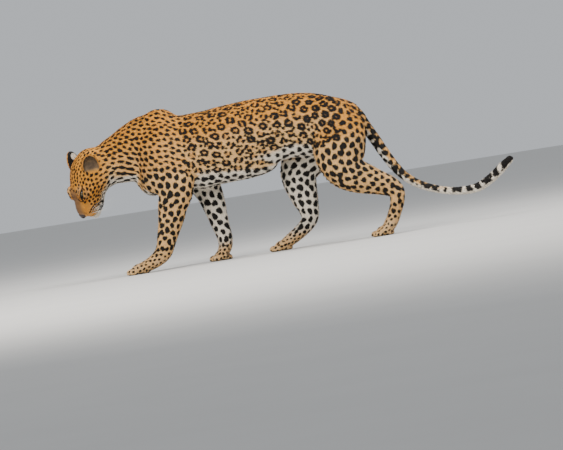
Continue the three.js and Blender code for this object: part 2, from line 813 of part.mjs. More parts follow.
function mouthUp(back) {
  for (let i = 1; i < mouthLine.length; i++) {
    const [b1, u1] = mouthLine[i];
    const [b0, u0] = mouthLine[i - 1];
    if (back <= b1) return u0 + ((u1 - u0) * (back - b0)) / (b1 - b0);
  }
  return mouthLine[mouthLine.length - 1][1];
}

function closedTube(curve, length, radius, sides) {
  const frames = curve.computeFrenetFrames(length, false);
  const corners = [];
  for (let i = 0; i <= length; i++) {
    const p = curve.getPointAt(i / length);
    for (let k = 0; k < sides; k++) {
      const angle = (2 * Math.PI * k) / sides;
      const corner = p.clone().addScaledVector(frames.normals[i], radius * Math.cos(angle));
      corners.push(corner.addScaledVector(frames.binormals[i], radius * Math.sin(angle)));
    }
  }
  corners.push(curve.getPointAt(0), curve.getPointAt(1));
  const triangles = [];
  for (let i = 0; i < length; i++) {
    for (let k = 0; k < sides; k++) {
      const a = i * sides + k;
      const b = i * sides + ((k + 1) % sides);
      triangles.push(a, b, b + sides, a, b + sides, a + sides);
    }
  }
  const end = length * sides;
  for (let k = 0; k < sides; k++) {
    const next = (k + 1) % sides;
    triangles.push(corners.length - 2, next, k, end + k, end + next, corners.length - 1);
  }
  return geometryOf(corners, triangles);
}

function eyeSolids(side) {
  const looks = local(eyeLooks, side).normalize();
  const worldLooks = looks.clone().transformDirection(headMatrix);
  const from = local(eyeFrom, side).applyMatrix4(headMatrix);
  const surface = pushOut(headField, from, worldLooks).applyMatrix4(headInverse);
  const middle = surface.addScaledVector(looks, -eyeRadius);
  const [gaze, long, tall] = squareAxes(looks, local(lidSlant, side));
  const ball = (radius) => headEgg(middle, [radius, radius, radius], plainAxes);
  const opening = headEgg(
    middle.clone().addScaledVector(looks, eyeRadius),
    [lidOpening.deep, lidOpening.long, lidOpening.tall],
    [gaze, long, tall],
  );
  const [lid, socket, eye] = [eyeRadius + lidThickness, eyeRadius + gap, eyeRadius].map(ball);
  return { lid, socket, eye, opening };
}

function earSolid(side) {
  const [axis, facing, across] = squareAxes(local(earAxis, side), local(earFacing, side));
  const { thick, wide, wall, rim, cupShift, middleUp, tallShare } = earShell;
  const middle = local(earRoot, side).addScaledVector(axis, middleUp * earLength);
  const tall = tallShare * earLength;
  const outer = headEgg(middle, [tall, thick, wide], [axis, facing, across]);
  const hollow = headEgg(
    middle.clone().addScaledVector(facing, cupShift),
    [tall - rim, thick + cupShift - wall, wide - rim],
    [axis, facing, across],
  );
  return outer.subtract(hollow);
}

// The head is drawn in its own frame, so that both its sides are alike.
function makeHead() {
  const own = (p) => fleshWithin([headCut], cells.head)(p.clone().applyMatrix4(headMatrix));
  const skin = skinOf(own, boxes.head, cells.head);
  const grown = skin.clone();
  const corner = new THREE.Vector3();
  for (let i = 0; i < grown.attributes.position.count; i++) {
    corner.fromBufferAttribute(grown.attributes.position, i);
    corner.addScaledVector(slopeOf(own, corner).normalize(), 2 * gap);
    grown.attributes.position.setXYZ(i, corner.x, corner.y, corner.z);
  }
  const clearOf = solidOf(grown.applyMatrix4(headMatrix));
  let head = trim(solidOf(skin.applyMatrix4(headMatrix)), [headCut]);
  const eyes = { left: eyeSolids(left), right: eyeSolids(right) };
  for (const { lid, socket, opening } of Object.values(eyes)) {
    head = head.add(lid).subtract(socket).subtract(opening);
  }
  const padAt = new THREE.Vector3(nosePad.back, 0, nosePad.up);
  const padOf = (grow) =>
    headEgg(padAt, [nosePad.rBack + grow, nosePad.rSide + grow, nosePad.rUp + grow], plainAxes);
  let pad = head.intersect(padOf(0));
  head = head.subtract(padOf(gap));
  for (const side of [left, right]) {
    const axes = squareAxes(local(nostrilRuns, side), plainAxes[1]);
    const radii = [nostril.rBack, nostril.rSide, nostril.rUp];
    pad = pad.subtract(headEgg(local(nostril, side), radii, axes, nostril.rounds));
  }
  const groove = lipLine();
  const jaw = head.intersect(mouthBlock(0)).subtract(groove);
  head = head.subtract(mouthBlock(gap)).subtract(groove);
  parts.push(meshOf("head", head, coat.tawny));
  parts.push(meshOf("lower_jaw", jaw, coat.pale));
  parts.push(meshOf("nose_pad", pad, coat.nose, 0.5));
  for (const [name, { eye }] of Object.entries(eyes)) {
    parts.push(meshOf(`eye_${name}`, eye, coat.eye, 0.1));
  }
  parts.push(meshOf("ear_left", earSolid(left).subtract(clearOf), coat.tawny));
  parts.push(meshOf("ear_right", earSolid(right).subtract(clearOf), coat.tawny));
}

makeTrunk();
makeNeck();
makeTail();
makeLegs();
makeHead();

// The origin is on the floor, below the middle of the whole leopard.
const leopard = new THREE.Group();
leopard.add(...parts);
const middle = new THREE.Box3().setFromObject(leopard).getCenter(new THREE.Vector3());
leopard.position.set(-middle.x, -middle.y, 0);

export default leopard;
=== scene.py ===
import math
import time

import bpy
import numpy as np
from mathutils import Matrix, Vector
from mathutils.kdtree import KDTree


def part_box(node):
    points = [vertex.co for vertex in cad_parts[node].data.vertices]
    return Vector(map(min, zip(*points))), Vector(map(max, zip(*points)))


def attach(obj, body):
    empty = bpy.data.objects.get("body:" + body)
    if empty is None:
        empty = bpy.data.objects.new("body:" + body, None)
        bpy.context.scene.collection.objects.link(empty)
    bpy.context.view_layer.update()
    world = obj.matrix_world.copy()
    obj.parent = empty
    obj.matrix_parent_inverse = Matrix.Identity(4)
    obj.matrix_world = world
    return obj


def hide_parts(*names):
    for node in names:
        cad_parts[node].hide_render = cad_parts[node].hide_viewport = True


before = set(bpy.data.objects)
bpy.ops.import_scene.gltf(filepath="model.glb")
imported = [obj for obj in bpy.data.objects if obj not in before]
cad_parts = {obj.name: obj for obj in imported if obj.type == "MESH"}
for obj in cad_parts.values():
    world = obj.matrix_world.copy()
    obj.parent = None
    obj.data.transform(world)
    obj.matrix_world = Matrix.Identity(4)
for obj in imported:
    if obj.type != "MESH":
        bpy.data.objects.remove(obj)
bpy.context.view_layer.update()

# A leopard in mid stride, in metres. The head points to -X, +Z is up, and -Y is the animal's left.
# The flesh is one smooth field, negative inside: limbs along stations, muscles, and the head's forms.
# One skin is drawn on that field, and the coat's tufts grow from the skin.

left, right = -1, 1

skinDetail = {
    "bodyCell": 0.0042,
    "coatDepth": 0.0030,  # how far the skin lies inside the flesh that the tufts reach out to
    "faceDepth": 0.0016,
    "pawDepth": 0.0018,
    "offFloor": 0.0006,  # the soles are flat, this high
}
tiny = 1e-9  # keeps a division from meeting zero
farAway = 1.0  # a form that is nowhere near


# Stations of a limb: x, z, half the depth seen from the side, half the width, and how far out it stands
trunkStations = [
    (-0.468, 0.408, 0.092, 0.066), (-0.44, 0.398, 0.122, 0.084), (-0.4, 0.393, 0.131, 0.092),
    (-0.35, 0.393, 0.131, 0.099), (-0.3, 0.394, 0.132, 0.104), (-0.25, 0.396, 0.132, 0.106),
    (-0.197, 0.403, 0.13, 0.106), (-0.143, 0.409, 0.127, 0.104), (-0.091, 0.416, 0.123, 0.099),
    (-0.04, 0.423, 0.116, 0.093), (0.017, 0.429, 0.111, 0.088), (0.079, 0.426, 0.111, 0.088),
    (0.137, 0.418, 0.107, 0.09), (0.188, 0.408, 0.096, 0.086), (0.228, 0.402, 0.08, 0.07),
    (0.252, 0.4, 0.058, 0.046),
]
neckStations = [
    (-0.42, 0.425, 0.126, 0.084, 0), (-0.47, 0.427, 0.117, 0.076, -0.002),
    (-0.508, 0.424, 0.101, 0.071, -0.005), (-0.546, 0.415, 0.088, 0.066, -0.009),
    (-0.584, 0.404, 0.079, 0.062, -0.014), (-0.616, 0.388, 0.068, 0.06, -0.02),
    (-0.644, 0.374, 0.058, 0.056, -0.025),
]
tailStations = [
    (0.215, 0.452, 0.042, 0.044), (0.248, 0.446, 0.034, 0.034), (0.276, 0.424, 0.0265, 0.026),
    (0.3, 0.389, 0.0205, 0.02), (0.327, 0.336, 0.0195, 0.019), (0.354, 0.28, 0.0186, 0.018),
    (0.381, 0.231, 0.0172, 0.017), (0.414, 0.189, 0.0154, 0.0154), (0.458, 0.156, 0.014, 0.014),
    (0.507, 0.133, 0.0133, 0.0133), (0.558, 0.118, 0.0131, 0.0131), (0.61, 0.111, 0.0143, 0.0143),
    (0.657, 0.115, 0.0156, 0.0156), (0.695, 0.131, 0.0164, 0.0164), (0.73, 0.154, 0.0164, 0.0164),
    (0.759, 0.176, 0.0158, 0.0158), (0.78, 0.192, 0.013, 0.013),
]
legStations = {
    "front_left": [
        (-0.404, 0.42, 0.066, 0.03, 0.066), (-0.412, 0.362, 0.07, 0.036, 0.074),
        (-0.388, 0.304, 0.066, 0.04, 0.076), (-0.388, 0.262, 0.06, 0.038, 0.074),
        (-0.405, 0.222, 0.052, 0.034, 0.071), (-0.415, 0.186, 0.047, 0.031, 0.068),
        (-0.427, 0.152, 0.041, 0.0285, 0.066), (-0.44, 0.119, 0.036, 0.026, 0.064),
        (-0.451, 0.088, 0.032, 0.026, 0.063), (-0.464, 0.062, 0.03, 0.028, 0.062),
        (-0.488, 0.042, 0.026, 0.03, 0.062), (-0.518, 0.028, 0.022, 0.033, 0.062),
        (-0.548, 0.02, 0.018, 0.034, 0.062), (-0.572, 0.014, 0.012, 0.03, 0.062),
    ],
    "front_right": [
        (-0.372, 0.42, 0.066, 0.03, 0.066), (-0.352, 0.366, 0.066, 0.036, 0.072),
        (-0.312, 0.318, 0.06, 0.04, 0.074), (-0.29, 0.28, 0.055, 0.038, 0.072),
        (-0.276, 0.24, 0.047, 0.034, 0.069), (-0.267, 0.2, 0.0415, 0.03, 0.066),
        (-0.261, 0.163, 0.0355, 0.0275, 0.063), (-0.256, 0.13, 0.0315, 0.026, 0.061),
        (-0.25, 0.1, 0.0285, 0.027, 0.06), (-0.246, 0.072, 0.0265, 0.029, 0.059),
        (-0.25, 0.046, 0.024, 0.032, 0.058), (-0.262, 0.026, 0.02, 0.034, 0.058),
        (-0.276, 0.016, 0.013, 0.03, 0.058),
    ],
    "hind_left": [
        (0.214, 0.408, 0.084, 0.04, 0.052), (0.203, 0.36, 0.092, 0.046, 0.066),
        (0.193, 0.305, 0.088, 0.048, 0.078), (0.199, 0.26, 0.074, 0.046, 0.084),
        (0.228, 0.228, 0.062, 0.041, 0.084), (0.27, 0.206, 0.053, 0.036, 0.08),
        (0.312, 0.186, 0.043, 0.03, 0.076), (0.348, 0.168, 0.036, 0.025, 0.073),
        (0.37, 0.146, 0.0295, 0.023, 0.071), (0.368, 0.112, 0.025, 0.0235, 0.07),
        (0.356, 0.08, 0.023, 0.025, 0.07), (0.341, 0.05, 0.023, 0.028, 0.07),
        (0.324, 0.028, 0.021, 0.031, 0.07), (0.306, 0.016, 0.013, 0.029, 0.07),
    ],
    "hind_right": [
        (0.18, 0.4, 0.084, 0.04, 0.05), (0.128, 0.352, 0.084, 0.046, 0.066),
        (0.072, 0.305, 0.076, 0.047, 0.08), (0.046, 0.262, 0.066, 0.044, 0.088),
        (0.046, 0.218, 0.057, 0.04, 0.09), (0.053, 0.176, 0.048, 0.034, 0.088),
        (0.06, 0.138, 0.038, 0.028, 0.086), (0.062, 0.106, 0.031, 0.024, 0.085),
        (0.048, 0.08, 0.0265, 0.024, 0.084), (0.018, 0.056, 0.024, 0.026, 0.083),
        (-0.012, 0.038, 0.0225, 0.029, 0.082), (-0.038, 0.024, 0.019, 0.031, 0.082),
        (-0.056, 0.015, 0.0125, 0.029, 0.082),
    ],
}

pawPlaces = {  # the middle of the toes' knuckles and how wide they spread
    "front_left": (-0.566, 0.062, 1.04),
    "front_right": (-0.276, 0.058, 1.0),
    "hind_left": (0.296, 0.070, 0.95),
    "hind_right": (-0.062, 0.082, 0.95),
}
toe = {  # a form is back from the knuckles, up, three half sizes and a lean in degrees
    "offsets": (-0.027, -0.0096, 0.0096, 0.027),
    "reach": (-0.009, 0.003, 0.003, -0.009),
    "knuckle": (0.006, 0.021, 0.019, 0.0105, 0.014, -18),
    "tip": (-0.017, 0.009, 0.016, 0.0106, 0.013, 0),
    "splay": 0.1,  # how much wider than the knuckles the tips stand
    "heel": (0.024, 0.008, 0.023, 0.027, 0.014, 0),
}

headPose = {
    "noseTip": (-0.722, -0.030, 0.226),
    "pitch": 17,  # degrees that the face leans forward of straight down
    "turn": 36,  # degrees that the forehead turns to the animal's left
}

# Forms of the head: back from the nose tip, to the side, up, three half sizes, and a turn in degrees
headMiddle = [
    (0.150, 0, 0.016, 0.080, 0.056, 0.054, 0),  # braincase
    (0.194, 0, 0.000, 0.050, 0.054, 0.050, 0),  # back of the skull
    (0.100, 0, 0.014, 0.056, 0.045, 0.048, 0),  # forehead
    (0.050, 0, 0.006, 0.046, 0.029, 0.032, 12),  # bridge of the muzzle
    (0.020, 0, 0.005, 0.025, 0.016, 0.014, 20),  # nose
    (0.029, 0, -0.049, 0.027, 0.0215, 0.0155, 4),  # chin
    (0.098, 0, -0.042, 0.066, 0.036, 0.025, 4),  # floor of the jaw
    (0.136, 0, -0.044, 0.056, 0.042, 0.034, 0),  # root of the throat
]
headSides = [
    (0.146, 0.041, -0.018, 0.052, 0.033, 0.042, 0),  # cheek
    (0.106, 0.042, 0.006, 0.038, 0.023, 0.027, 0),  # cheekbone
    (0.033, 0.016, -0.019, 0.027, 0.019, 0.022, 0),  # whisker pad
    (0.054, 0.017, -0.046, 0.028, 0.017, 0.015, 0),  # lower lip
    (0.080, 0.032, 0.036, 0.026, 0.017, 0.015, 6),  # brow
    (0.178, 0.034, 0.020, 0.026, 0.022, 0.024, 0),  # root of the ear
    (0.080, 0.027, -0.012, 0.044, 0.024, 0.032, 0),  # side of the face
]

eye = {
    "radius": 0.0135,
    "from": (0.100, 0.020, 0.026),  # inside the head; the eye sits where its gaze leaves the face
    "looks": (-0.60, 0.58, 0.55),
    "slant": (0.82, 0.34, 0.46),  # the lids run down to the nose
    "lid": 0.0024,
    "opening": (0.0130, 0.0031, 0.012),  # long, tall and deep
    "clear": 0.0002,  # between the eyeball and its socket
}
ear = {
    "root": (0.164, 0.050, 0.025),
    "axis": (0.84, 0.16, 0.50),
    "facing": (-0.42, 0.84, 0.20),
    "length": 0.064,
    "middleUp": 0.32,  # as a share of the length
    "tallShare": 0.68,
    "thick": 0.016,
    "wide": 0.029,
    "wall": 0.0042,
    "rim": 0.003,
    "rimSoft": 0.002,
    "cupAhead": 0.009,  # how far forward of the ear's middle its cup lies
}
mouthLine = [(-0.03, -0.037), (0.006, -0.037), (0.020, -0.0395), (0.034, -0.0405), (0.046, -0.0435),
             (0.056, -0.048), (0.066, -0.049)]

# How softly one form runs into the next
soft = {
    "neck": 0.036,
    "muscle": 0.026,
    "leg": 0.030,
    "toe": 0.007,
    "tail": 0.018,
    "headOnNeck": 0.026,
    "head": 0.011,
    "ear": 0.007,
    "lid": 0.006,
    "opening": 0.0012,
    "socket": 0.0004,
}


def unit(v):
    v = np.asarray(v, float)
    return v / np.linalg.norm(v)


def headAxes():
    pitch, turn = math.radians(headPose["pitch"]), math.radians(headPose["turn"])
    back = np.array([math.sin(pitch), 0, math.cos(pitch)])
    crown = np.array([-math.cos(pitch), 0, math.sin(pitch)])
    near = np.array([0, -1.0, 0])
    up = crown * math.cos(turn) + near * math.sin(turn)
    return np.array([back, -(near * math.cos(turn) - crown * math.sin(turn)), up])


headRows = headAxes()  # back, to the animal's right, and up


def toHead(points):
    return (points - np.array(headPose["noseTip"])) @ headRows.T


def fromHead(points):
    return np.asarray(points) @ headRows + np.array(headPose["noseTip"])


def limb(stations, side=1, egg=0.0, steps=5, room=0.04):
    # the stations joined by a smooth run of small steps
    rows = np.array([s if len(s) == 5 else (*s, 0) for s in stations], float)[:, [0, 4, 1, 2, 3]]
    last = len(rows) - 1
    run = []
    for i in range(last):
        a, b, c, d = (rows[k] for k in (max(i - 1, 0), i, i + 1, min(i + 2, last)))
        for t in np.arange(steps) / steps:
            run.append(0.5 * (2 * b + (c - a) * t + (2 * a - 5 * b + 4 * c - d) * t ** 2
                              + (3 * b - a - 3 * c + d) * t ** 3))
    run.append(rows[-1])
    run = np.array(run)
    run[:, 1] *= side
    reach = run[:, 3:].max(1)[:, None] + room
    low, high = (run[:, :3] - reach).min(0), (run[:, :3] + reach).max(0)
    return {"rows": run, "egg": egg, "low": low, "high": high}


def nearestOnLimb(part, points):
    # the step of the limb nearest to each point, and how far along that step
    rows = part["rows"]
    best = np.full(len(points), np.inf)
    found = np.zeros(len(points), int)
    share = np.zeros(len(points))
    for i in range(len(rows) - 1):
        along = rows[i + 1, :3] - rows[i, :3]
        t = np.clip((points - rows[i, :3]) @ along / (along @ along), 0, 1)
        offset = points - rows[i, :3] - t[:, None] * along
        d = np.sqrt((offset ** 2).sum(1)) - 0.5 * (rows[i, 3] + t * (rows[i + 1, 3] - rows[i, 3]))
        closer = d < best
        best[closer], found[closer], share[closer] = d[closer], i, t[closer]
    return found, share


def limbPlaces(part, points):
    # along, across (towards the back of the animal) and sideways from the limb's middle,
    # with its half sizes
    rows = part["rows"]
    found, share = nearestOnLimb(part, points)
    here = rows[found] + share[:, None] * (rows[found + 1] - rows[found])
    step = rows[found + 1, :3] - rows[found, :3]
    length = np.hypot(step[:, 0], step[:, 2])
    offset = points - here[:, :3]
    along = (offset[:, 0] * step[:, 0] + offset[:, 2] * step[:, 2]) / length
    across = (-offset[:, 0] * step[:, 2] + offset[:, 2] * step[:, 0]) / length
    return found + share, step, along, across, offset[:, 1], here[:, 3], here[:, 4]


def limbField(part, points):
    value = np.full(len(points), farAway)
    near = ((points > part["low"]) & (points < part["high"])).all(1)
    if not near.any():
        return value
    _, step, along, across, sideways, deep, wide = limbPlaces(part, points[near])
    upward = across / deep * np.where(step[:, 0] < 0, -1, 1)
    wide = wide * (1 + part["egg"] * np.clip(upward, -1, 1))
    q = np.sqrt(along ** 2 + across ** 2 + sideways ** 2) + tiny
    ahead = along / np.minimum(deep, wide)
    r = np.sqrt(ahead ** 2 + (across / deep) ** 2 + (sideways / wide) ** 2) + tiny
    value[near] = q * (1 - 1 / r)
    return value


def eggField(x, y, z, rx, ry, rz):
    k0 = np.sqrt((x / rx) ** 2 + (y / ry) ** 2 + (z / rz) ** 2) + tiny
    k1 = np.sqrt((x / rx ** 2) ** 2 + (y / ry ** 2) ** 2 + (z / rz ** 2) ** 2) + tiny
    return k0 * (k0 - 1) / k1


def muscleField(m, points, room=0.06):
    mx, my, mz, rx, ry, rz, turn = m
    value = np.full(len(points), farAway)
    reach = max(rx, ry, rz) + room
    near = (abs(points - (mx, my, mz)) < reach).all(1)
    ex, ey, ez = (points[near] - (mx, my, mz)).T
    c, s = math.cos(math.radians(turn)), math.sin(math.radians(turn))
    value[near] = eggField(ex * c - ez * s, ey, ex * s + ez * c, rx, ry, rz)
    return value


def blend(a, b, k):
    h = np.maximum(k - abs(a - b), 0) / k
    return np.minimum(a, b) - h * h * k / 4


def carve(a, b, k):
    # a with the form b taken out of it, over a soft edge
    return -blend(-a, b, k)


def bodyMuscles():
    muscles = []
    for side in (left, right):
        shift = 0 if side == left else 0.012  # the far shoulder has swung further back
        muscles += [
            (-0.412 + shift, 0.034 * side, 0.500, 0.050, 0.024, 0.058, -14),  # top of the shoulder blade
            (-0.425 + shift, 0.074 * side, 0.400, 0.066, 0.038, 0.096, 10),  # shoulder
            (-0.458 + shift, 0.062 * side, 0.322, 0.044, 0.034, 0.050, 0),  # point of the shoulder
            (-0.385 + shift, 0.082 * side, 0.335, 0.052, 0.032, 0.058, -24),  # back of the upper arm
            (0.180, 0.062 * side, 0.452, 0.066, 0.034, 0.056, 12),  # rump
            (0.215, 0.076 * side, 0.352, 0.058, 0.040, 0.088, -8),  # back of the thigh
        ]
    muscles += [
        (-0.470, 0, 0.318, 0.044, 0.052, 0.054, -10),  # breast
        (-0.180, 0, 0.320, 0.150, 0.062, 0.046, 6),  # ribs and belly, lower line
        (-0.040, 0, 0.497, 0.190, 0.034, 0.034, 0),  # loin along the back
        (-0.556, -0.010, 0.372, 0.060, 0.046, 0.040, 8),  # throat
    ]
    return muscles


def sideOf(name):
    return left if name.endswith("left") else right


def toesOf(name):
    x0, y0, spread = pawPlaces[name]
    side = sideOf(name)
    knuckle, tip, heel = toe["knuckle"], toe["tip"], toe["heel"]
    forms = []
    for offset, reach in zip(toe["offsets"], toe["reach"]):
        x, y = x0 - reach, (y0 + offset * spread) * side
        forms.append((x + knuckle[0], y, *knuckle[1:]))
        forms.append((x + tip[0], y + toe["splay"] * offset * side, *tip[1:]))
    forms.append((x0 + heel[0], y0 * side, *heel[1:]))
    return forms


trunk = limb(trunkStations, egg=0.14)  # a little wider below than above
neck = limb(neckStations, egg=0.1)
tail = limb(tailStations)
legs = {name: limb(rows, sideOf(name)) for name, rows in legStations.items()}
muscles = bodyMuscles()
toes = {name: toesOf(name) for name in legs}
headForms = headMiddle + headSides + [(f[0], -f[1], *f[2:]) for f in headSides]


def baseHeadField(q):
    value = np.full(len(q), farAway)
    for back, side, up, rb, rs, ru, turn in headForms:
        c, s = math.cos(math.radians(turn)), math.sin(math.radians(turn))
        x, z = q[:, 0] - back, q[:, 2] - up
        form = eggField(x * c + z * s, q[:, 1] - side, z * c - x * s, rb, rs, ru)
        value = blend(value, form, soft["head"])
    return value


def squareAxes(first, second):
    a = unit(first)
    b = unit(np.asarray(second) - a * (np.asarray(second) @ a))
    return np.array([a, b, np.cross(a, b)])


def sided(place, side):
    return np.array([place[0], place[1] * side, place[2]])


def outwardOnHead(start, way, reach, steps):
    # how far along a way from inside the head its surface is met
    run = np.linspace(0, reach, steps)
    outside = baseHeadField(start + run[:, None] * way) > 0
    return run[outside.argmax()]


def eyeMiddle(side):
    looks, start = unit(sided(eye["looks"], side)), sided(eye["from"], side)
    return start + looks * (outwardOnHead(start, looks, 0.08, 400) - eye["radius"]), looks


eyeSpots = {side: eyeMiddle(side) for side in (left, right)}


def eyeAxes(side):
    # the gaze, along the lids to the outer corner, and across them
    return squareAxes(eyeSpots[side][1], sided(eye["slant"], side))


def earPlaces(q, side):
    # up the ear, to its open front and across it, from its middle
    axis, facing, across = squareAxes(sided(ear["axis"], side), sided(ear["facing"], side))
    middle = sided(ear["root"], side) + axis * ear["middleUp"] * ear["length"]
    return (q - middle) @ axis, (q - middle) @ facing, (q - middle) @ across


def earForms(a, b, c):
    # the ear's egg and the cup that is taken out of it
    tall, thick, wide = ear["tallShare"] * ear["length"], ear["thick"], ear["wide"]
    rim, ahead = ear["rim"], ear["cupAhead"]
    shell = eggField(a, b, c, tall, thick, wide)
    return shell, eggField(a, b - ahead, c, tall - rim, thick + ahead - ear["wall"], wide - rim)


def earField(q, side):
    return carve(*earForms(*earPlaces(q, side)), ear["rimSoft"])


def mouthUp(back):
    return np.interp(back, [p[0] for p in mouthLine], [p[1] for p in mouthLine])


# Creases cut into the face: half their width, how deep, how softly, and how far back they run
mouthCrease = {"half": 0.0004, "deep": 0.0032, "soft": 0.0022, "back": 0.064}
lipGroove = {"half": 0.0004, "deep": 0.0018, "soft": 0.002, "back": 0.03, "up": -0.022, "tall": 0.014}


def creased(value, apart, line):
    return carve(value, np.maximum(apart, -line["deep"] - value), line["soft"])


def faceLines(q, value):
    # the mouth's line and the groove under the nose
    back, side, up = q.T
    mouth = np.maximum(abs(up - mouthUp(back)) - mouthCrease["half"], back - mouthCrease["back"])
    value = creased(value, mouth, mouthCrease)
    groove = np.maximum(abs(up - lipGroove["up"]) - lipGroove["tall"], back - lipGroove["back"])
    return creased(value, np.maximum(abs(side) - lipGroove["half"], groove), lipGroove)


def headField(q, depth):
    value = baseHeadField(q) + depth
    for side in (left, right):
        value = blend(value, earField(q, side), soft["ear"])
        middle, looks = eyeSpots[side]
        ball = np.linalg.norm(q - middle, axis=1) - eye["radius"]
        value = blend(value, ball - eye["lid"], soft["lid"])
        a, b, c = ((q - middle - looks * eye["radius"]) @ v for v in eyeAxes(side))
        long, high, deep = eye["opening"]
        value = carve(value, eggField(a, b, c, deep, long, high), soft["opening"])
        value = carve(value, ball - eye["clear"], soft["socket"])
    return faceLines(q, value)


def flesh(points):
    value = limbField(trunk, points)
    value = blend(value, limbField(neck, points), soft["neck"])
    for m in muscles:
        value = blend(value, muscleField(m, points), soft["muscle"])
    for name, part in legs.items():
        leg = limbField(part, points)
        for m in toes[name]:
            leg = blend(leg, muscleField(m, points), soft["toe"])
        value = blend(value, leg, soft["leg"])
    return blend(value, limbField(tail, points), soft["tail"])


def coatDepth(points):
    # thinner over the paws, and full above the wrists and hocks
    body, paw, full = skinDetail["coatDepth"], skinDetail["pawDepth"], 0.14
    return paw + (body - paw) * np.clip(points[:, 2] / full, 0, 1)


headRoom = {"front": -0.06, "back": 0.33, "aside": 0.16}  # the head's form is looked for within this


def nearHead(q):
    ahead = (q[:, 0] > headRoom["front"]) & (q[:, 0] < headRoom["back"])
    return ahead & (abs(q[:, 1:]) < headRoom["aside"]).all(1)


def skinField(points):
    # the flesh, drawn in by the coat's own thickness, with the head on it and flat soles
    value = flesh(points) + coatDepth(points)
    q = toHead(points)
    near = nearHead(q)
    head = headField(q[near], skinDetail["faceDepth"])
    value[near] = blend(value[near], head, soft["headOnNeck"])
    return np.maximum(value, skinDetail["offFloor"] - points[:, 2])


def packed(cells, most=4096):
    # three whole numbers, each less than the most, as one
    return (cells[:, 0] * most + cells[:, 1]) * most + cells[:, 2]


def lookUp(keys, wanted):
    at = np.minimum(np.searchsorted(keys, wanted), len(keys) - 1)
    return np.where(keys[at] == wanted, at, -1)


def everyCell(counts, start=0):
    # all the cells of a lattice, by their whole numbers
    runs = [np.arange(start, n) for n in counts]
    return np.stack(np.meshgrid(*runs, indexing="ij"), -1).reshape(-1, 3)


cubeCorners = everyCell((2, 2, 2))


def drawSkin(field, low, high, cell, coarse=4, margin=0.009):
    # one corner in each small cell that the field's zero level crosses, found first on a coarse lattice
    low, high = np.array(low), np.array(high)
    wide = cell * coarse
    count = np.ceil((high - low) / wide).astype(int) + 1
    values = field(low + everyCell(count) * wide).reshape(count)
    blocks = everyCell(count - 1)
    around = np.stack([values[tuple((blocks + c).T)] for c in cubeCorners], 1)
    near = abs(around).min(1) < wide
    blocks, around = blocks[near], around[near]
    steps = everyCell([coarse] * 3)
    guess = np.zeros((len(blocks), len(steps)))
    for i, c in enumerate(cubeCorners):
        share = np.where(c == 1, steps / coarse, 1 - steps / coarse).prod(1)
        guess += around[:, i:i + 1] * share
    fine = (blocks[:, None] * coarse + steps)[abs(guess) < margin + 0.5 * cell]
    keys = packed(fine)
    order = np.argsort(keys)
    keys, fine = keys[order], fine[order]
    values = np.concatenate([field(low + part * cell) for part in np.array_split(fine, 8)])
    corners = np.stack([lookUp(keys, packed(fine + c)) for c in cubeCorners], 1)
    whole = (corners >= 0).all(1)
    inside = values[np.where(corners >= 0, corners, 0)] < 0
    active = whole & inside.any(1) & ~inside.all(1)
    cells, corner = fine[active], values[corners[active]]
    total, crossings = np.zeros((len(cells), 3)), np.zeros(len(cells))
    for i, a in enumerate(cubeCorners):
        for j, b in enumerate(cubeCorners):
            if (b - a).min() < 0 or (b - a).sum() != 1:
                continue
            va, vb = corner[:, i], corner[:, j]
            cross = (va < 0) != (vb < 0)
            share = np.where(cross, va / np.where(cross, va - vb, 1), 0)
            total += cross[:, None] * (a + share[:, None] * (b - a))
            crossings += cross
    verts = low + (cells + total / crossings[:, None]) * cell
    cellKeys = packed(cells)
    faces = []
    for axis in range(3):
        step = np.eye(3, dtype=int)
        ahead = lookUp(keys, packed(fine + step[axis]))
        cross = (ahead >= 0) & ((values < 0) != (values[ahead] < 0))
        edge, inward = fine[cross], values[cross] < 0
        a, b = step[(axis + 1) % 3], step[(axis + 2) % 3]
        quad = np.stack([lookUp(cellKeys, packed(edge - back)) for back in (a + b, b, 0 * a, a)], 1)
        quad[~inward] = quad[~inward][:, ::-1]
        faces.append(quad[(quad >= 0).all(1)])
    return verts, np.concatenate(faces)


# The lattice is drawn together around the face, so the skin is finer there with no seam
gather = {"at": (0.085, 0, 0), "times": 3.1, "spread": 0.12}
faceMiddle = fromHead(gather["at"])


def spreadOut(points):
    # from the animal's space to the lattice's, where the head is larger
    offset = points - faceMiddle
    r = np.linalg.norm(offset, axis=1, keepdims=True) + tiny
    return offset * (1 + (gather["times"] - 1) * np.tanh(gather["spread"] / r))


def drawnIn(lattice, rounds=12, least=1e-6):
    # the way back, by Newton's method on the distance
    s = np.linalg.norm(lattice, axis=1, keepdims=True) + tiny
    k, w = gather["times"] - 1, gather["spread"]
    r = s / gather["times"]
    for _ in range(rounds):
        t = np.tanh(w / r)
        slope = 1 + k * t - k * (1 - t * t) * w / r
        r = np.maximum(r - (r * (1 + k * t) - s) / slope, least)
    return faceMiddle + lattice * (r / s)


# The whole animal stands in this box, and how much room is left round it in the lattice
animalBox = {"low": (-0.80, -0.16, -0.01), "high": (0.82, 0.16, 0.60), "share": 0.03, "room": 0.05}


def makeSkinMesh():
    low, high = np.array(animalBox["low"]), np.array(animalBox["high"])
    ends = np.where(cubeCorners, high, low)
    more = (high - low) * animalBox["share"]
    spread = spreadOut(np.concatenate([ends - more, ends + more]))
    low, high = spread.min(0) - animalBox["room"], spread.max(0) + animalBox["room"]
    verts, faces = drawSkin(lambda p: skinField(drawnIn(p)), low, high, skinDetail["bodyCell"])
    return drawnIn(verts), faces


def frameShift():
    # the frame's origin is under the middle of the animal,
    # and the eyes tell where the stations' origin is
    boxes = [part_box(name) for name in ("eye_left", "eye_right")]
    middle = sum((np.array(b[0]) + np.array(b[1]) for b in boxes)) / 4
    drawn = sum(fromHead(spot[0]) for spot in eyeSpots.values()) / 2
    return middle - drawn


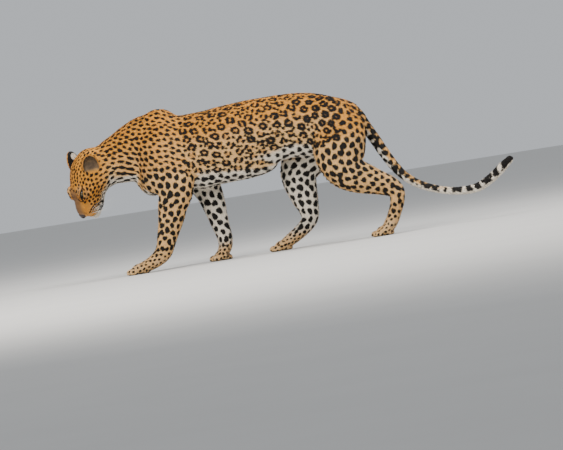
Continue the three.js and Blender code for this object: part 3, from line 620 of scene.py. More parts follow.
def meshObject(name, verts, faces, material, smooth=True):
    mesh = bpy.data.meshes.new(name)
    size = faces.shape[1]
    mesh.vertices.add(len(verts))
    mesh.vertices.foreach_set("co", np.asarray(verts, np.float32).ravel())
    mesh.loops.add(faces.size)
    mesh.loops.foreach_set("vertex_index", faces.astype(np.int32).ravel())
    mesh.polygons.add(len(faces))
    mesh.polygons.foreach_set("loop_start", np.arange(0, faces.size, size, dtype=np.int32))
    mesh.polygons.foreach_set("use_smooth", np.full(len(faces), smooth))
    mesh.update(calc_edges=True)
    mesh.materials.append(material)
    piece = bpy.data.objects.new(name, mesh)
    bpy.context.scene.collection.objects.link(piece)
    return piece


def giveValues(piece, values):
    for name, data in values.items():
        attribute = piece.data.attributes.new(name, "FLOAT", "POINT")
        attribute.data.foreach_set("value", np.asarray(data, np.float32))


def crossedSides(verts, faces):
    # a vector square to each face, twice as long as its area
    a, b, c, d = (verts[faces[:, i]] for i in range(4))
    return np.cross(c - a, d - b)


def vertexNormals(verts, faces):
    n = crossedSides(verts, faces)
    total = np.zeros_like(verts)
    for i in range(4):
        np.add.at(total, faces[:, i], n)
    return total / (np.linalg.norm(total, axis=1, keepdims=True) + 1e-12)


# Where on the animal a point is, and the coat's lie there
partNames = ["trunk", "neck", "tail", *legs, "head"]
limbsInOrder = [trunk, neck, tail, *legs.values()]
firstLeg = partNames.index("front_left")
legTop = {"height": 0.30, "weight": 0.9}  # above this a leg's skin belongs more and more to the trunk
awayFromAll = 0.5


def nearestPart(points):
    # the distance to each part in turn
    distance = np.full((len(points), len(partNames)), awayFromAll)
    for i, part in enumerate(limbsInOrder):
        distance[:, i] = np.minimum(limbField(part, points), awayFromAll)
    for i, name in enumerate(legs, firstLeg):
        for m in toes[name]:
            distance[:, i] = np.minimum(distance[:, i], muscleField(m, points))
        distance[:, i] += legTop["weight"] * np.clip(points[:, 2] - legTop["height"], 0, 1)
    q = toHead(points)
    near = nearHead(q)
    distance[near, -1] = baseHeadField(q[near])
    for side in (left, right):
        distance[near, -1] = np.minimum(distance[near, -1], earField(q[near], side))
    return distance


def fading(gap, over):
    # from 1 at no gap down to nearly 0, over a few times the given width
    return np.exp(-np.clip(gap, 0, 0.2) / over)


def sharesOf(distance, over):
    # how much of each part a point has, which runs over at their borders
    share = fading(distance - distance.min(1, keepdims=True), over)
    return share / share.sum(1, keepdims=True)


combing = {
    "over": 0.012,  # how widely the lie of one part runs into the next
    "least": 0.01,  # a smaller share of a part isn't looked at
    "drop": (0, 0, -0.45),  # how the hair of trunk and neck leans down
    "faceBack": 0.9,
    "faceOut": 0.5,  # and how it fans out on the face
    "faceHalf": 0.04,
}


def lieOf(points, normals, distance):
    # the hair runs from the nose to the tail, down the legs and out along the tail
    share = sharesOf(distance, combing["over"])
    lie = np.zeros_like(points)
    for i, part in enumerate(limbsInOrder):
        near = share[:, i] > combing["least"]
        if near.any():
            _, step, *_ = limbPlaces(part, points[near])
            step = step / np.linalg.norm(step, axis=1, keepdims=True)
            flow = -step if partNames[i] == "neck" else step
            if partNames[i] in ("trunk", "neck"):
                flow = flow + combing["drop"]
            lie[near] += share[near, i:i + 1] * flow
    q = toHead(points)
    fan = combing["faceOut"] * np.clip(q / combing["faceHalf"], -1, 1)
    fan[:, 0] = combing["faceBack"]
    lie += share[:, -1:] * (fan @ headRows)
    lie -= (lie * normals).sum(1, keepdims=True) * normals
    return lie / (np.linalg.norm(lie, axis=1, keepdims=True) + tiny)


def ease(value, start, end):
    t = np.clip((value - start) / (end - start), 0, 1)
    return t * t * (3 - 2 * t)


def mix(a, b, share):
    return a + (b - a) * share


# The coat's markings: how far it is from the middle of one mark to the next, and the size of a mark
markings = {
    "seed": 11,
    "jitter": 0.10,  # how unevenly the marks are spaced
    "rosette": (0.0262, 0.0100),
    "belly": (0.0240, 0.0108),
    "shoulder": (0.0156, 0.0069),
    "neck": (0.0142, 0.0063),
    "throat": (0.0170, 0.0068),
    "head": (0.0102, 0.0044),
    "crown": (0.0092, 0.0036),
    "thigh": (0.0222, 0.0108),
    "shank": (0.0178, 0.0086),
    "paw": (0.0108, 0.0042),
    "inner": (0.0222, 0.0101),
    "tail": (0.0195, 0.0104),
    "loin": 0.86,  # rosettes are this much smaller over the loin
    "blotch": 0.0066,  # each of the black blotches round a rosette
    "fillSpot": 0.0040,  # small spots that fill the gaps between rosettes
    "fillGap": 0.0026,
}
markLengths = {  # as a share of a mark's width
    "rosette": 1.45,  # rosettes are longer along the body
    "shoulder": 1.22,
    "neck": 1.35,
    "throat": 0.55,  # on top of the neck's
    "leg": 1.15,
    "tailEnd": 0.62,
}
markPlaces = {  # where one kind of mark starts to give way to the next, and where it has
    "shoulder": (0.315, 0.365),  # ahead of the middle
    "loin": (0.02, 0.16),  # behind it
    "rump": (0.15, 0.24),
    "tailEnd": (0.42, 0.56),
    "thigh": (0.20, 0.29),  # above the floor
    "wrist": (0.04, 0.09),
    "crown": (0.030, 0.055),  # above the face
    "belly": (0.35, 0.7),  # by how much the skin faces down
    "throat": (-0.25, 0.35),
    "inner": (0.0, 0.5),  # and inwards
}
fullTurn = 2 * math.pi


def regionsOf(points, normals, distance):
    # shares from 0 to 1 of what part of the coat a point belongs to
    share = sharesOf(distance, 0.01)
    region = {name: share[:, partNames.index(name)] for name in ("trunk", "neck", "tail", "head")}
    region["leg"] = share[:, firstLeg:-1].sum(1)
    region["outward"] = normals[:, 1] * np.sign(points[:, 1])
    return region


def markPlan(points, normals, distance):
    # what mark stands at each point: the step to the next, its size, how long, and if it is a rosette
    m = {name: np.array(row)[:, None] for name, row in markings.items() if isinstance(row, tuple)}
    at, region = markPlaces, regionsOf(points, normals, distance)
    x, z, up = points[:, 0], points[:, 2], normals[:, 2]
    belly = region["trunk"] * ease(-up, *at["belly"])
    shoulder, rump = ease(-x, *at["shoulder"]), ease(x, *at["rump"])
    ring = (shoulder < 0.5) & (belly < 0.5)
    scale = mix(m["rosette"], m["shoulder"], shoulder)
    onRump = mix(scale, m["thigh"], rump)
    scale = np.stack([onRump[0], np.where(ring, scale[1], onRump[1])])
    ring &= rump < 0.75
    scale = mix(scale, m["belly"], belly)
    for name in ("neck", "tail", "head"):
        scale = mix(scale, m[name], region[name])
        ring &= region[name] < 0.5
    thigh, paw = ease(z, *at["thigh"]), 1 - ease(z, *at["wrist"])
    inner = ease(-region["outward"], *at["inner"]) * (1 - paw)
    leg = mix(mix(mix(m["shank"], m["thigh"], thigh), m["paw"], paw), m["inner"], inner)
    scale = mix(scale, leg, region["leg"])
    ring &= region["leg"] < 0.4
    scale = np.where(ring, m["rosette"] * mix(1, markings["loin"], ease(x, *at["loin"])), scale)
    throat = region["neck"] * ease(-up, *at["throat"])
    crown = region["head"] * ease(toHead(points)[:, 2], *at["crown"])
    step, size = mix(mix(scale, m["throat"], throat), m["crown"], crown)
    longs = markLengths
    long = mix(1.0, longs["shoulder"], shoulder)
    long = mix(long, longs["neck"] + longs["throat"] * throat, region["neck"])
    long = mix(long, longs["leg"], region["leg"])
    long = mix(long, longs["tailEnd"], region["tail"] * ease(x, *at["tailEnd"]))
    return step, size, np.where(ring, longs["rosette"], long), ring


evening = {"rounds": 10, "reach": 1.4, "hardest": 0.5, "strength": 0.2, "most": 0.004}
backToBack = -0.2  # marks on two faces of the body that look away from each other may stand close


def evenOut(chosen, allowed, p, n, t, step, long):
    # neighbours push each other apart until the marks stand evenly over the skin
    tree = KDTree(len(allowed))
    for i in allowed:
        tree.insert(p[i], i)
    tree.balance()
    home = np.array(chosen)
    at = p[home].astype(np.float32)
    for _ in range(evening["rounds"]):
        out, way, size, longer = n[home], t[home], step[home], np.maximum(long[home], 1)
        away = (at[:, None] - at[None]).astype(np.float32)
        along = np.einsum("ijk,ik->ij", away, way) ** 2
        far = (away ** 2).sum(2)
        gap = np.sqrt(np.maximum(far - along * (1 - 1 / longer[:, None] ** 2), 0))
        gap = gap / (0.5 * (size[:, None] + size))
        push = np.clip(evening["reach"] - gap, 0, evening["hardest"])
        push = push * (out @ out.T > backToBack) * (far > 0)
        move = (away / np.sqrt(far + tiny)[..., None] * push[..., None]).sum(1)
        move = move * size[:, None] * evening["strength"]
        at = at + np.clip(move, -evening["most"], evening["most"])
        home = np.array([tree.find(spot)[1] for spot in at.tolist()])
        at = at - ((at - p[home]) * n[home]).sum(1, keepdims=True) * n[home]
    return at, home


rosetteForm = {
    "blotches": (3, 6),  # from, and up to but not with
    "uneven": 0.16,
    "far": (0.9, 1.12),
    "along": 1.2,
    "across": 0.82,
    "grow": (0.78, 1.15),
}


def ringBlobs(size, rng):
    # the blotches round a rosette: place along and across, size, turn, and how the edge wavers
    count = rng.integers(*rosetteForm["blotches"])
    start = rng.uniform(0, fullTurn)
    uneven = rosetteForm["uneven"]
    blobs = []
    for k in range(count):
        angle = start + fullTurn * (k + rng.uniform(-uneven, uneven)) / count
        far = size * rng.uniform(*rosetteForm["far"])
        along = far * math.cos(angle) * rosetteForm["along"]
        across = far * math.sin(angle) * rosetteForm["across"]
        r = markings["blotch"] * rng.uniform(*rosetteForm["grow"])
        blobs.append((along, across, r, -angle, rng.uniform(0, fullTurn, 3)))
    return blobs


def markAt(at, out, lie, size, blobs, ring=False):
    side = np.cross(out, lie)
    return {"at": at, "out": out, "lie": lie, "side": side, "size": size, "blobs": blobs, "ring": ring}


scatter = {"places": 60000, "most": 6000, "grow": (0.82, 1.16), "fillLong": (0.9, 1.3), "fillMost": 1.5}


def scatterMarks(points, normals, lie, distance):
    rng = np.random.default_rng(markings["seed"])
    order = rng.permutation(len(points))[:scatter["places"]]
    p, n, t = points[order], normals[order], lie[order]
    step, size, long, ring = markPlan(p, n, distance[order])
    step = step * (1 + markings["jitter"] * rng.uniform(-1, 1, len(p)))
    bare = bareOfMarks(p, distance[order])
    closest = np.where(bare, -1, 99.0)  # in steps, to the nearest mark so far
    chosen = []
    i = closest.argmax()
    while closest[i] >= 1 and len(chosen) < scatter["most"]:
        chosen.append(i)
        offset = p - p[i]
        along = (offset @ t[i]) ** 2
        gap = np.sqrt((offset ** 2).sum(1) - along * (1 - 1 / max(long[i], 1) ** 2))
        gap = gap / (0.5 * (step[i] + step))
        closest = np.where(n @ n[i] > backToBack, np.minimum(closest, gap), closest)
        # the next mark takes the nearest free place, so the marks pack closely
        i = np.where(closest >= 1, closest, 1e3).argmin()
    spots, chosen = evenOut(chosen, np.flatnonzero(~bare), p, n, t, step, long)
    marks = []
    for spot, i in zip(spots, chosen):
        wobble = rng.uniform(0, fullTurn, 3)
        grow = rng.uniform(*scatter["grow"])
        if ring[i]:
            blobs = ringBlobs(size[i], rng)
        else:
            blobs = [(0.0, 0.0, size[i] * grow, long[i], wobble)]
        marks.append(markAt(spot, n[i], t[i], size[i], blobs, bool(ring[i])))
    spotSize, spotGap = markings["fillSpot"], markings["fillGap"]
    free = np.where(bare | ~ring, 0, -markAll(p, n, marks)[0])
    while free.max() > spotSize + spotGap:
        i = free.argmax()
        r = min(free[i] - spotGap, scatter["fillMost"] * spotSize)
        blob = (0.0, 0.0, r, rng.uniform(*scatter["fillLong"]), rng.uniform(0, fullTurn, 3))
        marks.append(markAt(p[i], n[i], t[i], r, [blob]))
        free = np.minimum(free, np.maximum(np.sqrt(((p - p[i]) ** 2).sum(1)) - r, 0))
    return marks


blotchLong, blotchWide, spotWide = 1.25, 1.12, 1.25
waver = ((2, 0.13), (3, 0.10))  # how often round a mark its edge goes out and in, and how far


def blobDistance(u, v, blob, ring):
    # how far inside a blob's edge each place is
    bu, bv, r, shape, wobble = blob
    du, dv = u - bu, v - bv
    if ring:
        # a ring's blotches are longest along the ring
        c, s = math.cos(shape), math.sin(shape)
        du, dv = du * c - dv * s, du * s + dv * c
        du, dv = du * blotchWide, dv / blotchLong
    else:
        du, dv = du / shape, dv * min(shape, spotWide) ** 0.5
    angle = np.arctan2(dv, du)
    (slow, low), (fast, high) = waver
    edge = r * (1 + low * np.sin(slow * angle + wobble[0]) + high * np.sin(fast * angle + wobble[1]))
    return edge - np.hypot(du, dv)


reachOfMarks = {"cell": 0.03, "offset": 2000, "facing": 0.1, "outside": -0.012, "centre": (0.6, 1.15)}


def markAll(points, normals, marks):
    # how far inside the nearest mark's edge each point is, and the tawny middle of the rosettes
    inside = np.full(len(points), reachOfMarks["outside"])
    centre = np.zeros(len(points))
    cell, offsetOfCells = reachOfMarks["cell"], reachOfMarks["offset"]
    fade, full = reachOfMarks["centre"]
    keys = packed(np.floor(points / cell).astype(int) + offsetOfCells)
    order = np.argsort(keys)
    keys = keys[order]
    around = everyCell((2, 2, 2), -1)
    for mark in marks:
        home = packed(np.floor(mark["at"] / cell).astype(int) + offsetOfCells + around)
        spans = zip(np.searchsorted(keys, home), np.searchsorted(keys, home, side="right"))
        near = np.concatenate([order[a:b] for a, b in spans])
        if not len(near):
            continue
        offset = points[near] - mark["at"]
        faces = normals[near] @ mark["out"] > reachOfMarks["facing"]
        near = near[faces & ((offset ** 2).sum(1) < cell ** 2)]
        offset = points[near] - mark["at"]
        stretch = np.sqrt((offset ** 2).sum(1))
        u, v = offset @ mark["lie"], offset @ mark["side"]
        flat = np.hypot(u, v) + tiny
        u, v = u * stretch / flat, v * stretch / flat
        for blob in mark["blobs"]:
            inside[near] = np.maximum(inside[near], blobDistance(u, v, blob, mark["ring"]))
        if mark["ring"]:
            middle = 1 - ease(stretch, fade * mark["size"], full * mark["size"])
            centre[near] = np.maximum(centre[near], middle)
    return inside, centre


def lidAxes(side):
    # along the lids to the outer corner, across them away from the muzzle, and out
    gaze, along, tall = eyeAxes(side)
    return along, -tall if tall[2] < 0 else tall, gaze


def eyePlaces(q, side):
    middle, looks = eyeSpots[side]
    offset = q - middle - looks * eye["radius"]
    return [offset @ axis for axis in lidAxes(side)]


def onEar(q, side):
    return 1 - ease(earForms(*earPlaces(q, side))[0], 0.001, 0.005)


bareSkin = {  # where no marks are scattered
    "muzzle": 0.054,  # back to here
    "bridge": (0.090, 0.020, 0.0),  # back to here, as wide on each side, and above this
    "eye": (0.022, 0.012),
    "ear": 0.15,
    "chin": -0.052,
    "sole": 0.004,
}


def bareOfMarks(points, distance):
    q = toHead(points)
    head = distance.argmin(1) == distance.shape[1] - 1
    bare = head & (q[:, 0] < bareSkin["muzzle"])
    back, aside, up = bareSkin["bridge"]
    bare |= head & (q[:, 0] < back) & (abs(q[:, 1]) < aside) & (q[:, 2] > up)
    long, tall = bareSkin["eye"]
    for side in (left, right):
        a, b, _ = eyePlaces(q, side)
        bare |= head & (np.hypot(a / long, b / tall) < 1)
        bare |= head & (onEar(q, side) > 0.3) & (q[:, 0] > bareSkin["ear"])
    bare |= head & (q[:, 2] < bareSkin["chin"])
    bare |= points[:, 2] < bareSkin["sole"]
    return bare


def segmentGap(q, a, b):
    along = b - a
    t = np.clip((q - a) @ along / (along @ along), 0, 1)
    return np.linalg.norm(q - a - t[:, None] * along, axis=1), t


def ink(paint, where, inside):
    # black where a place is inside a mark's edge
    paint["mark"] = np.maximum(paint["mark"], np.where(where, inside, -1))


def tint(paint, name, value, share):
    paint[name] = mix(paint[name], value, share)


# The ground colour runs from 0, white, over 0.5, buff, to 1, ochre
faceTones = {"cheek": 0.80, "crown": 0.95, "jaw": 0.30, "chin": 0.02, "eye": 0.50}
facePlaces = {
    "crown": (-0.02, 0.025),
    "jaw": (0.020, 0.034),  # below the middle of the face
    "jawBack": (0.05, 0.07),
    "chin": (0.035, 0.043),
    "bridgeSide": (0.012, 0.024),
    "bridgeUp": (-0.004, 0.010),
    "bridgeFront": (0.002, 0.010),
    "bridgeBack": (0.070, 0.105),
}


def paintMuzzle(q, head, paint):
    back, side, up = q.T
    tones, at = faceTones, facePlaces
    face = mix(tones["cheek"], tones["crown"], ease(up, *at["crown"]))
    face = mix(face, tones["jaw"], ease(-up, *at["jaw"]) * mix(0.8, 1.0, ease(back, *at["jawBack"])))
    face = mix(face, tones["chin"], ease(-up, *at["chin"]))
    tint(paint, "ground", face, head)
    bridge = (1 - ease(abs(side), *at["bridgeSide"])) * ease(up, *at["bridgeUp"])
    bridge = bridge * (1 - ease(back, *at["bridgeBack"]))
    paint["brown"] = np.maximum(paint["brown"], head * bridge * ease(back, *at["bridgeFront"]))


eyePaint = {
    # below the lids and above them: place along and up, half length and half height
    "pale": ((-0.004, -0.015, 0.020, 0.009), (0.002, 0.014, 0.014, 0.007)),
    "paleShare": 0.8,
    "rim": (0.0175, 0.0056, 0.0004),  # half its length, half its height, and how much it is grown
    "tear": {"from": (-0.0150, -0.0015), "runs": (-0.018, -0.001, -0.010), "half": 0.0030, "taper": 0.7},
    "streak": {"from": (0.015, 0), "runs": (0.022, 0.012, -0.010), "half": 0.0020, "taper": 0.5},
}


def paintEye(q, head, paint, s):
    # pale patches, the black rim of the lids, the line to the nose and the one to the cheek
    a, b, _ = eyePlaces(q, s)
    onSide = head * ease(q[:, 1] * s, -0.004, 0.004)
    pale = np.zeros(len(q))
    for along, above, long, tall in eyePaint["pale"]:
        pale = np.maximum(pale, np.exp(-((a - along) / long) ** 2 - ((b - above) / tall) ** 2))
    tint(paint, "ground", faceTones["eye"], onSide * np.clip(eyePaint["paleShare"] * pale, 0, 1))
    long, tall, grow = eyePaint["rim"]
    ink(paint, onSide > 0.5, grow - (np.hypot(a / long, b / tall) - 1) * tall)
    middle, looks = eyeSpots[s]
    along, upward, _ = lidAxes(s)
    for line in (eyePaint["tear"], eyePaint["streak"]):
        start = middle + looks * eye["radius"] + along * line["from"][0] + upward * line["from"][1]
        gap, t = segmentGap(q, start, start + sided(line["runs"], s))
        ink(paint, head > 0.5, line["half"] * (1 - line["taper"] * t) - gap)


whiskerLines = {
    "rows": 4,
    "top": (0.02, -0.0060),  # back and up
    "apart": 0.0074,
    "fall": 0.12,
    "half": 0.00165,
    "waver": (0.0007, 640, 2),  # how far, how often, and how differently from row to row
    "front": (0.017, 0.002),  # of the first row, and how much further back for each next one
    "end": (0.054, 0.003),
    "taper": 0.7,
    "aside": 0.008,
}


def paintWhiskerLines(q, head, paint, s):
    # the dark lines that the whiskers grow from
    back, side, up = q.T
    w = whiskerLines
    wave, often, shift = w["waver"]
    for row in range(w["rows"]):
        height = w["top"][1] - w["apart"] * row - w["fall"] * (back - w["top"][0])
        line = w["half"] + wave * np.sin(back * often + shift * row) - abs(up - height)
        ahead = back - w["front"][0] - w["front"][1] * row
        behind = w["end"][0] + w["end"][1] * row - back
        line = np.minimum(line, w["taper"] * np.minimum(ahead, behind))
        ink(paint, (side * s > w["aside"]) & (head > 0.5), line)


lipPaint = {
    # back, up, two slopes, half its size, and how far aside
    "corner": (0.064, -0.0485, 0.4, 0.9, 0.0048, 0.006),
    # back, how far from the mouth's line, how long, half its size, and how far aside
    "lower": (0.046, -0.0055, 1.7, 0.0078, 0.008),
    "edge": (0.066, 0.0018),  # back to here, and half its width
    "groove": (0.03, -0.004, -0.036, 0.0008),  # back to here, its top and foot, and half its width
    "nostril": (0.004, 0.0085, 0.005, 0.006),  # place and radius
}


def paintLips(q, head, paint, s):
    back, side, up = q.T
    at, below, alongSlope, upSlope, half, aside = lipPaint["corner"]
    patch = abs(up - below) * upSlope + abs(back - at) * alongSlope
    ink(paint, (head > 0.5) & (side * s > aside), half - patch)
    at, below, long, half, aside = lipPaint["lower"]
    lower = np.hypot((back - at) / long, up - mouthUp(back) - below)
    ink(paint, (head > 0.5) & (side * s > aside), half - lower)


def paintNoseAndMouth(q, head, paint):
    back, side, up = q.T
    end, half = lipPaint["edge"]
    ink(paint, (head > 0.5) & (back < end), half - abs(up - mouthUp(back)))
    end, top, foot, half = lipPaint["groove"]
    ink(paint, (head > 0.5) & (back < end) & (up < top) & (up > foot), half - abs(side))
    *place, radius = lipPaint["nostril"]
    for s in (left, right):
        ink(paint, head > 0.5, radius - np.linalg.norm(q - sided(place, s), axis=1))


earPaint = {  # places up the ear from its middle, to its open front and across
    "foot": (-0.024, -0.010),
    "cup": (0.0004, 0.0016),
    "cupFront": (-0.02, -0.006),
    "behind": (-0.003, 0.001),
    "offCup": (0.0012, 0.003),
    "inside": (-0.030, -0.012),
    "hair": (-0.034, -0.014),
    # middle up and across, how tall, and from where to where it fades, of the painted shade deep in the cup
    "deep": (0.004, 0.003, 1.3, 0.008, 0.022),
    "tones": (0.95, 0.35, 0.08),  # of the foot, inside and behind
    # how strong the painted shade inside the cup is, at its rim and at its deep middle
    "shade": (0.80, 1.0),
    "brown": 0.7,
    "black": (0.006, 0.014),  # how deep inside the mark behind the ear is, and the pale spot takes away
    "spot": (0.020, 0.016, 0.017),
}


def paintEar(q, paint, s):
    e = earPaint
    up, front, across = earPlaces(q, s)
    isEar = onEar(q, s) * ease(up, *e["foot"])
    cup = earForms(up, front, across)[1]
    within = isEar * (1 - ease(cup, *e["cup"])) * ease(front, *e["cupFront"])
    behind = isEar * (1 - ease(front, *e["behind"])) * ease(cup, *e["offCup"])
    foot, inside, rear = e["tones"]
    tint(paint, "ground", mix(foot, inside, ease(up, *e["inside"])), within)
    # painted shade: the inside of the cup is darkened with the shadow colour, most at its deep middle
    deepUp, deepAcross, tall, fade, end = e["deep"]
    deep = within * (1 - ease(np.hypot((up - deepUp) / tall, across - deepAcross), fade, end))
    tint(paint, "shade", 1.0, within * mix(*e["shade"], deep) * ease(up, *e["hair"]))
    tint(paint, "brown", e["brown"], within * ease(up, *e["hair"]))
    spotUp, spotTall, spotWide = e["spot"]
    spot = np.exp(-((up - spotUp) / spotTall) ** 2 - (across / spotWide) ** 2)
    ink(paint, behind > 0.3, e["black"][0] - e["black"][1] * spot)
    tint(paint, "ground", rear, behind)
    paint["mark"] = np.where(within > 0.5, -0.004, paint["mark"])


def paintFace(points, distance, paint):
    q = toHead(points)
    gap = distance[:, -1] - distance[:, :-1].min(1)
    head = np.where(gap < 0, 1.0, fading(gap, 0.012))
    paintMuzzle(q, head, paint)
    for s in (left, right):
        paintEye(q, head, paint, s)
        paintWhiskerLines(q, head, paint, s)
        paintLips(q, head, paint, s)
        paintEar(q, paint, s)
    paintNoseAndMouth(q, head, paint)


coatTones = {
    "back": 1.0,
    "flank": 0.56,
    "shoulder": 0.72,
    "belly": 0.02,
    "nape": 1.0,
    "neckSide": 0.70,
    "throat": 0.05,
    "legOutside": 0.55,
    "legInside": 0.06,
    "paw": 0.42,
    "tailTop": 0.72,
    "tailEnd": 0.12,
    "tailUnder": 0.03,
    "head": 0.6,
}
coatPlaces = {
    "back": (-0.25, 0.65),  # by how much the skin faces up
    "belly": (0.38, 0.68),  # or down
    "shoulderTop": (0.1, 0.7),
    "shoulderSide": (-0.2, 0.1),
    "shoulder": (0.30, 0.42),  # ahead of the middle
    "nape": (-0.3, 0.5),
    "throat": (0.42, 0.78),
    "legInside": (-0.25, 0.35),
    "paw": (0.03, 0.09),  # above the floor
    "tailHangs": (0.16, 0.24),
    "tailEnd": (0.40, 0.60),  # behind the middle
    "tailTop": (-0.30, 0.20),
    "sole": (0.002, 0.006),
    "soleDown": (0.2, 0.7),
}
tailBack = (0.8, 0.6)  # where the upper side of the tail faces while it hangs: back and up
tailBars = {
    "start": (0.52, 0.60),
    "first": 0.55,
    "apart": 0.034,
    "half": 0.0085,
    "below": 0.004,  # narrower under the tail
    "belowPlace": (-0.1, 0.5),
    "side": (0.008, 0.25),
    "tip": (0.755, 0.02, 0.45),
    "clean": (-0.35, 0.40),  # the underside of the tail has no marks behind here
}


def paintTail(x, up, onTail, mark):
    # black half rings over the end of the tail, and a black tip
    bars = tailBars
    phase = (x - bars["first"]) / bars["apart"]
    bar = bars["half"] - abs((phase - np.round(phase)) * bars["apart"])
    bar = bar - bars["below"] * ease(-up, *bars["belowPlace"])
    slope, turn = bars["side"]
    bar = np.where(onTail * ease(x, *bars["start"]) > 0.5, np.minimum(bar, slope * (up + turn)), -1)
    start, slope, turn = bars["tip"]
    tip = np.where(onTail > 0.5, np.minimum(x - start, slope * (up + turn)), -1)
    mark = np.maximum(mark, np.maximum(bar, tip))
    down, behind = bars["clean"]
    return np.where((onTail > 0.5) & (up < down) & (x > behind), np.minimum(mark, -0.001), mark)


def paintCoat(points, normals, distance, marks):
    region = regionsOf(points, normals, distance)
    up, x, z = normals[:, 2], points[:, 0], points[:, 2]
    tones, at = coatTones, coatPlaces
    mark, centre = markAll(points, normals, marks)
    trunkTone = mix(tones["flank"], tones["back"], ease(up, *at["back"]))
    trunkTone = mix(trunkTone, tones["belly"], ease(-up, *at["belly"]))
    shoulder = mix(tones["shoulder"], trunkTone, ease(up, *at["shoulderTop"]))
    trunkTone = mix(trunkTone, shoulder, ease(-x, *at["shoulder"]) * ease(up, *at["shoulderSide"]))
    neckTone = mix(tones["neckSide"], tones["nape"], ease(up, *at["nape"]))
    neckTone = mix(neckTone, tones["throat"], ease(-up, *at["throat"]))
    legTone = mix(tones["legOutside"], tones["legInside"], ease(-region["outward"], *at["legInside"]))
    legTone = mix(legTone, tones["paw"], 1 - ease(z, *at["paw"]))
    hanging = tailBack[0] * normals[:, 0] + tailBack[1] * up
    tailUp = mix(up, hanging, ease(z, *at["tailHangs"]))
    tailTone = mix(tones["tailTop"], tones["tailEnd"], ease(x, *at["tailEnd"]))
    tailTone = mix(tones["tailUnder"], tailTone, ease(tailUp, *at["tailTop"]))
    ground = (region["trunk"] * trunkTone + region["neck"] * neckTone + region["leg"] * legTone
              + region["tail"] * tailTone + region["head"] * tones["head"])
    paint = {
        "ground": ground,
        "mark": paintTail(x, up, region["tail"], mark),
        "centre": centre * region["trunk"],
        "brown": np.zeros(len(points)),
        "shade": np.zeros(len(points)),
    }
    paintFace(points, distance, paint)
    paint["mark"] = np.clip(paint["mark"], -0.008, 0.008)
    paint["sole"] = (1 - ease(z, *at["sole"])) * ease(-up, *at["soleDown"])
    return paint


coatColors = {
    "white": (0.88, 0.82, 0.72),
    "buff": (0.86, 0.56, 0.24),
    "ochre": (0.78, 0.35, 0.045),
    "rosette": (0.58, 0.23, 0.025),
    "bridge": (0.24, 0.135, 0.075),
    "black": (0.008, 0.006, 0.005),
    # painted shade, laid over the inside of the ears
    "shadow": (0.060, 0.040, 0.028),
    "sole": (0.05, 0.035, 0.03),
    "sheen": 0.05,
    "specular": 0.25,
    "roughness": 0.62,
    "toBuff": (0.08, 0.50),  # ground values over which white turns to buff
    "toOchre": (0.45, 0.95),
    "toBlack": (-0.0011, 0.0003),  # in metres inside a mark's edge
    "patches": (38, 4, 0.30),  # a noise's scale and detail, and how much it shifts the ground colour
    "ragged": (260, 3, 0.0034),  # and how far it frays the edge of the marks
    "hairs": (900, 2),
    "bump": (700, 3, 0.5, 0.0008),
    "rootTint": (0.62, 0.60, 0.58),
    "tipTint": (1.22, 1.20, 1.16),
    "skinTint": (0.6, 0.6, 0.6),
}
overlays = (("centre", 0.55, "rosette"), ("brown", 0.85, "bridge"), ("shade", 0.85, "shadow"))
paintNames = ("ground", "mark", "centre", "brown", "shade", "sole")


def attributeNode(nodes, name):
    node = nodes.new("ShaderNodeAttribute")
    node.attribute_name = name
    return node.outputs["Fac"]


def mathNode(tree, kind, a, b, clamp=False):
    node = tree.nodes.new("ShaderNodeMath")
    node.operation = kind
    node.use_clamp = clamp
    for socket, value in zip(node.inputs, (a, b)):
        if isinstance(value, (int, float)):
            socket.default_value = value
        else:
            tree.links.new(value, socket)
    return node.outputs[0]


def mixNode(tree, share, a, b, kind="MIX"):
    node = tree.nodes.new("ShaderNodeMix")
    node.data_type, node.blend_type = "RGBA", kind
    for socket, value in ((node.inputs[0], share), (node.inputs[6], a), (node.inputs[7], b)):
        if isinstance(value, tuple):
            socket.default_value = (*value, 1)
        elif isinstance(value, (int, float)):
            socket.default_value = value
        else:
            tree.links.new(value, socket)
    return node.outputs[2]


def noiseNode(tree, scale, detail=3, place=None, rough=0.55):
    node = tree.nodes.new("ShaderNodeTexNoise")
    node.inputs["Scale"].default_value = scale
    node.inputs["Detail"].default_value = detail
    node.inputs["Roughness"].default_value = rough
    if place is None:
        place = tree.nodes.new("ShaderNodeTexCoord").outputs["Object"]
    tree.links.new(place, node.inputs["Vector"])
    return node.outputs["Fac"]


def rampNode(tree, value, start, end):
    node = tree.nodes.new("ShaderNodeMapRange")
    node.interpolation_type = "SMOOTHSTEP"
    for name, number in (("From Min", start), ("From Max", end)):
        node.inputs[name].default_value = number
    tree.links.new(value, node.inputs["Value"])
    return node.outputs["Result"]


def startMaterial(name, roughness):
    material = bpy.data.materials.new(name)
    material.use_nodes = True
    shader = material.node_tree.nodes["Principled BSDF"]
    shader.inputs["Roughness"].default_value = roughness
    return material, material.node_tree, shader


def addBump(tree, shader, height, strength, distance):
    bump = tree.nodes.new("ShaderNodeBump")
    bump.inputs["Strength"].default_value = strength
    bump.inputs["Distance"].default_value = distance
    tree.links.new(height, bump.inputs["Height"])
    tree.links.new(bump.outputs["Normal"], shader.inputs["Normal"])


def waveringNode(tree, scale, detail, amount):
    wave = mathNode(tree, "SUBTRACT", noiseNode(tree, scale, detail), 0.5)
    return mathNode(tree, "MULTIPLY", wave, amount)


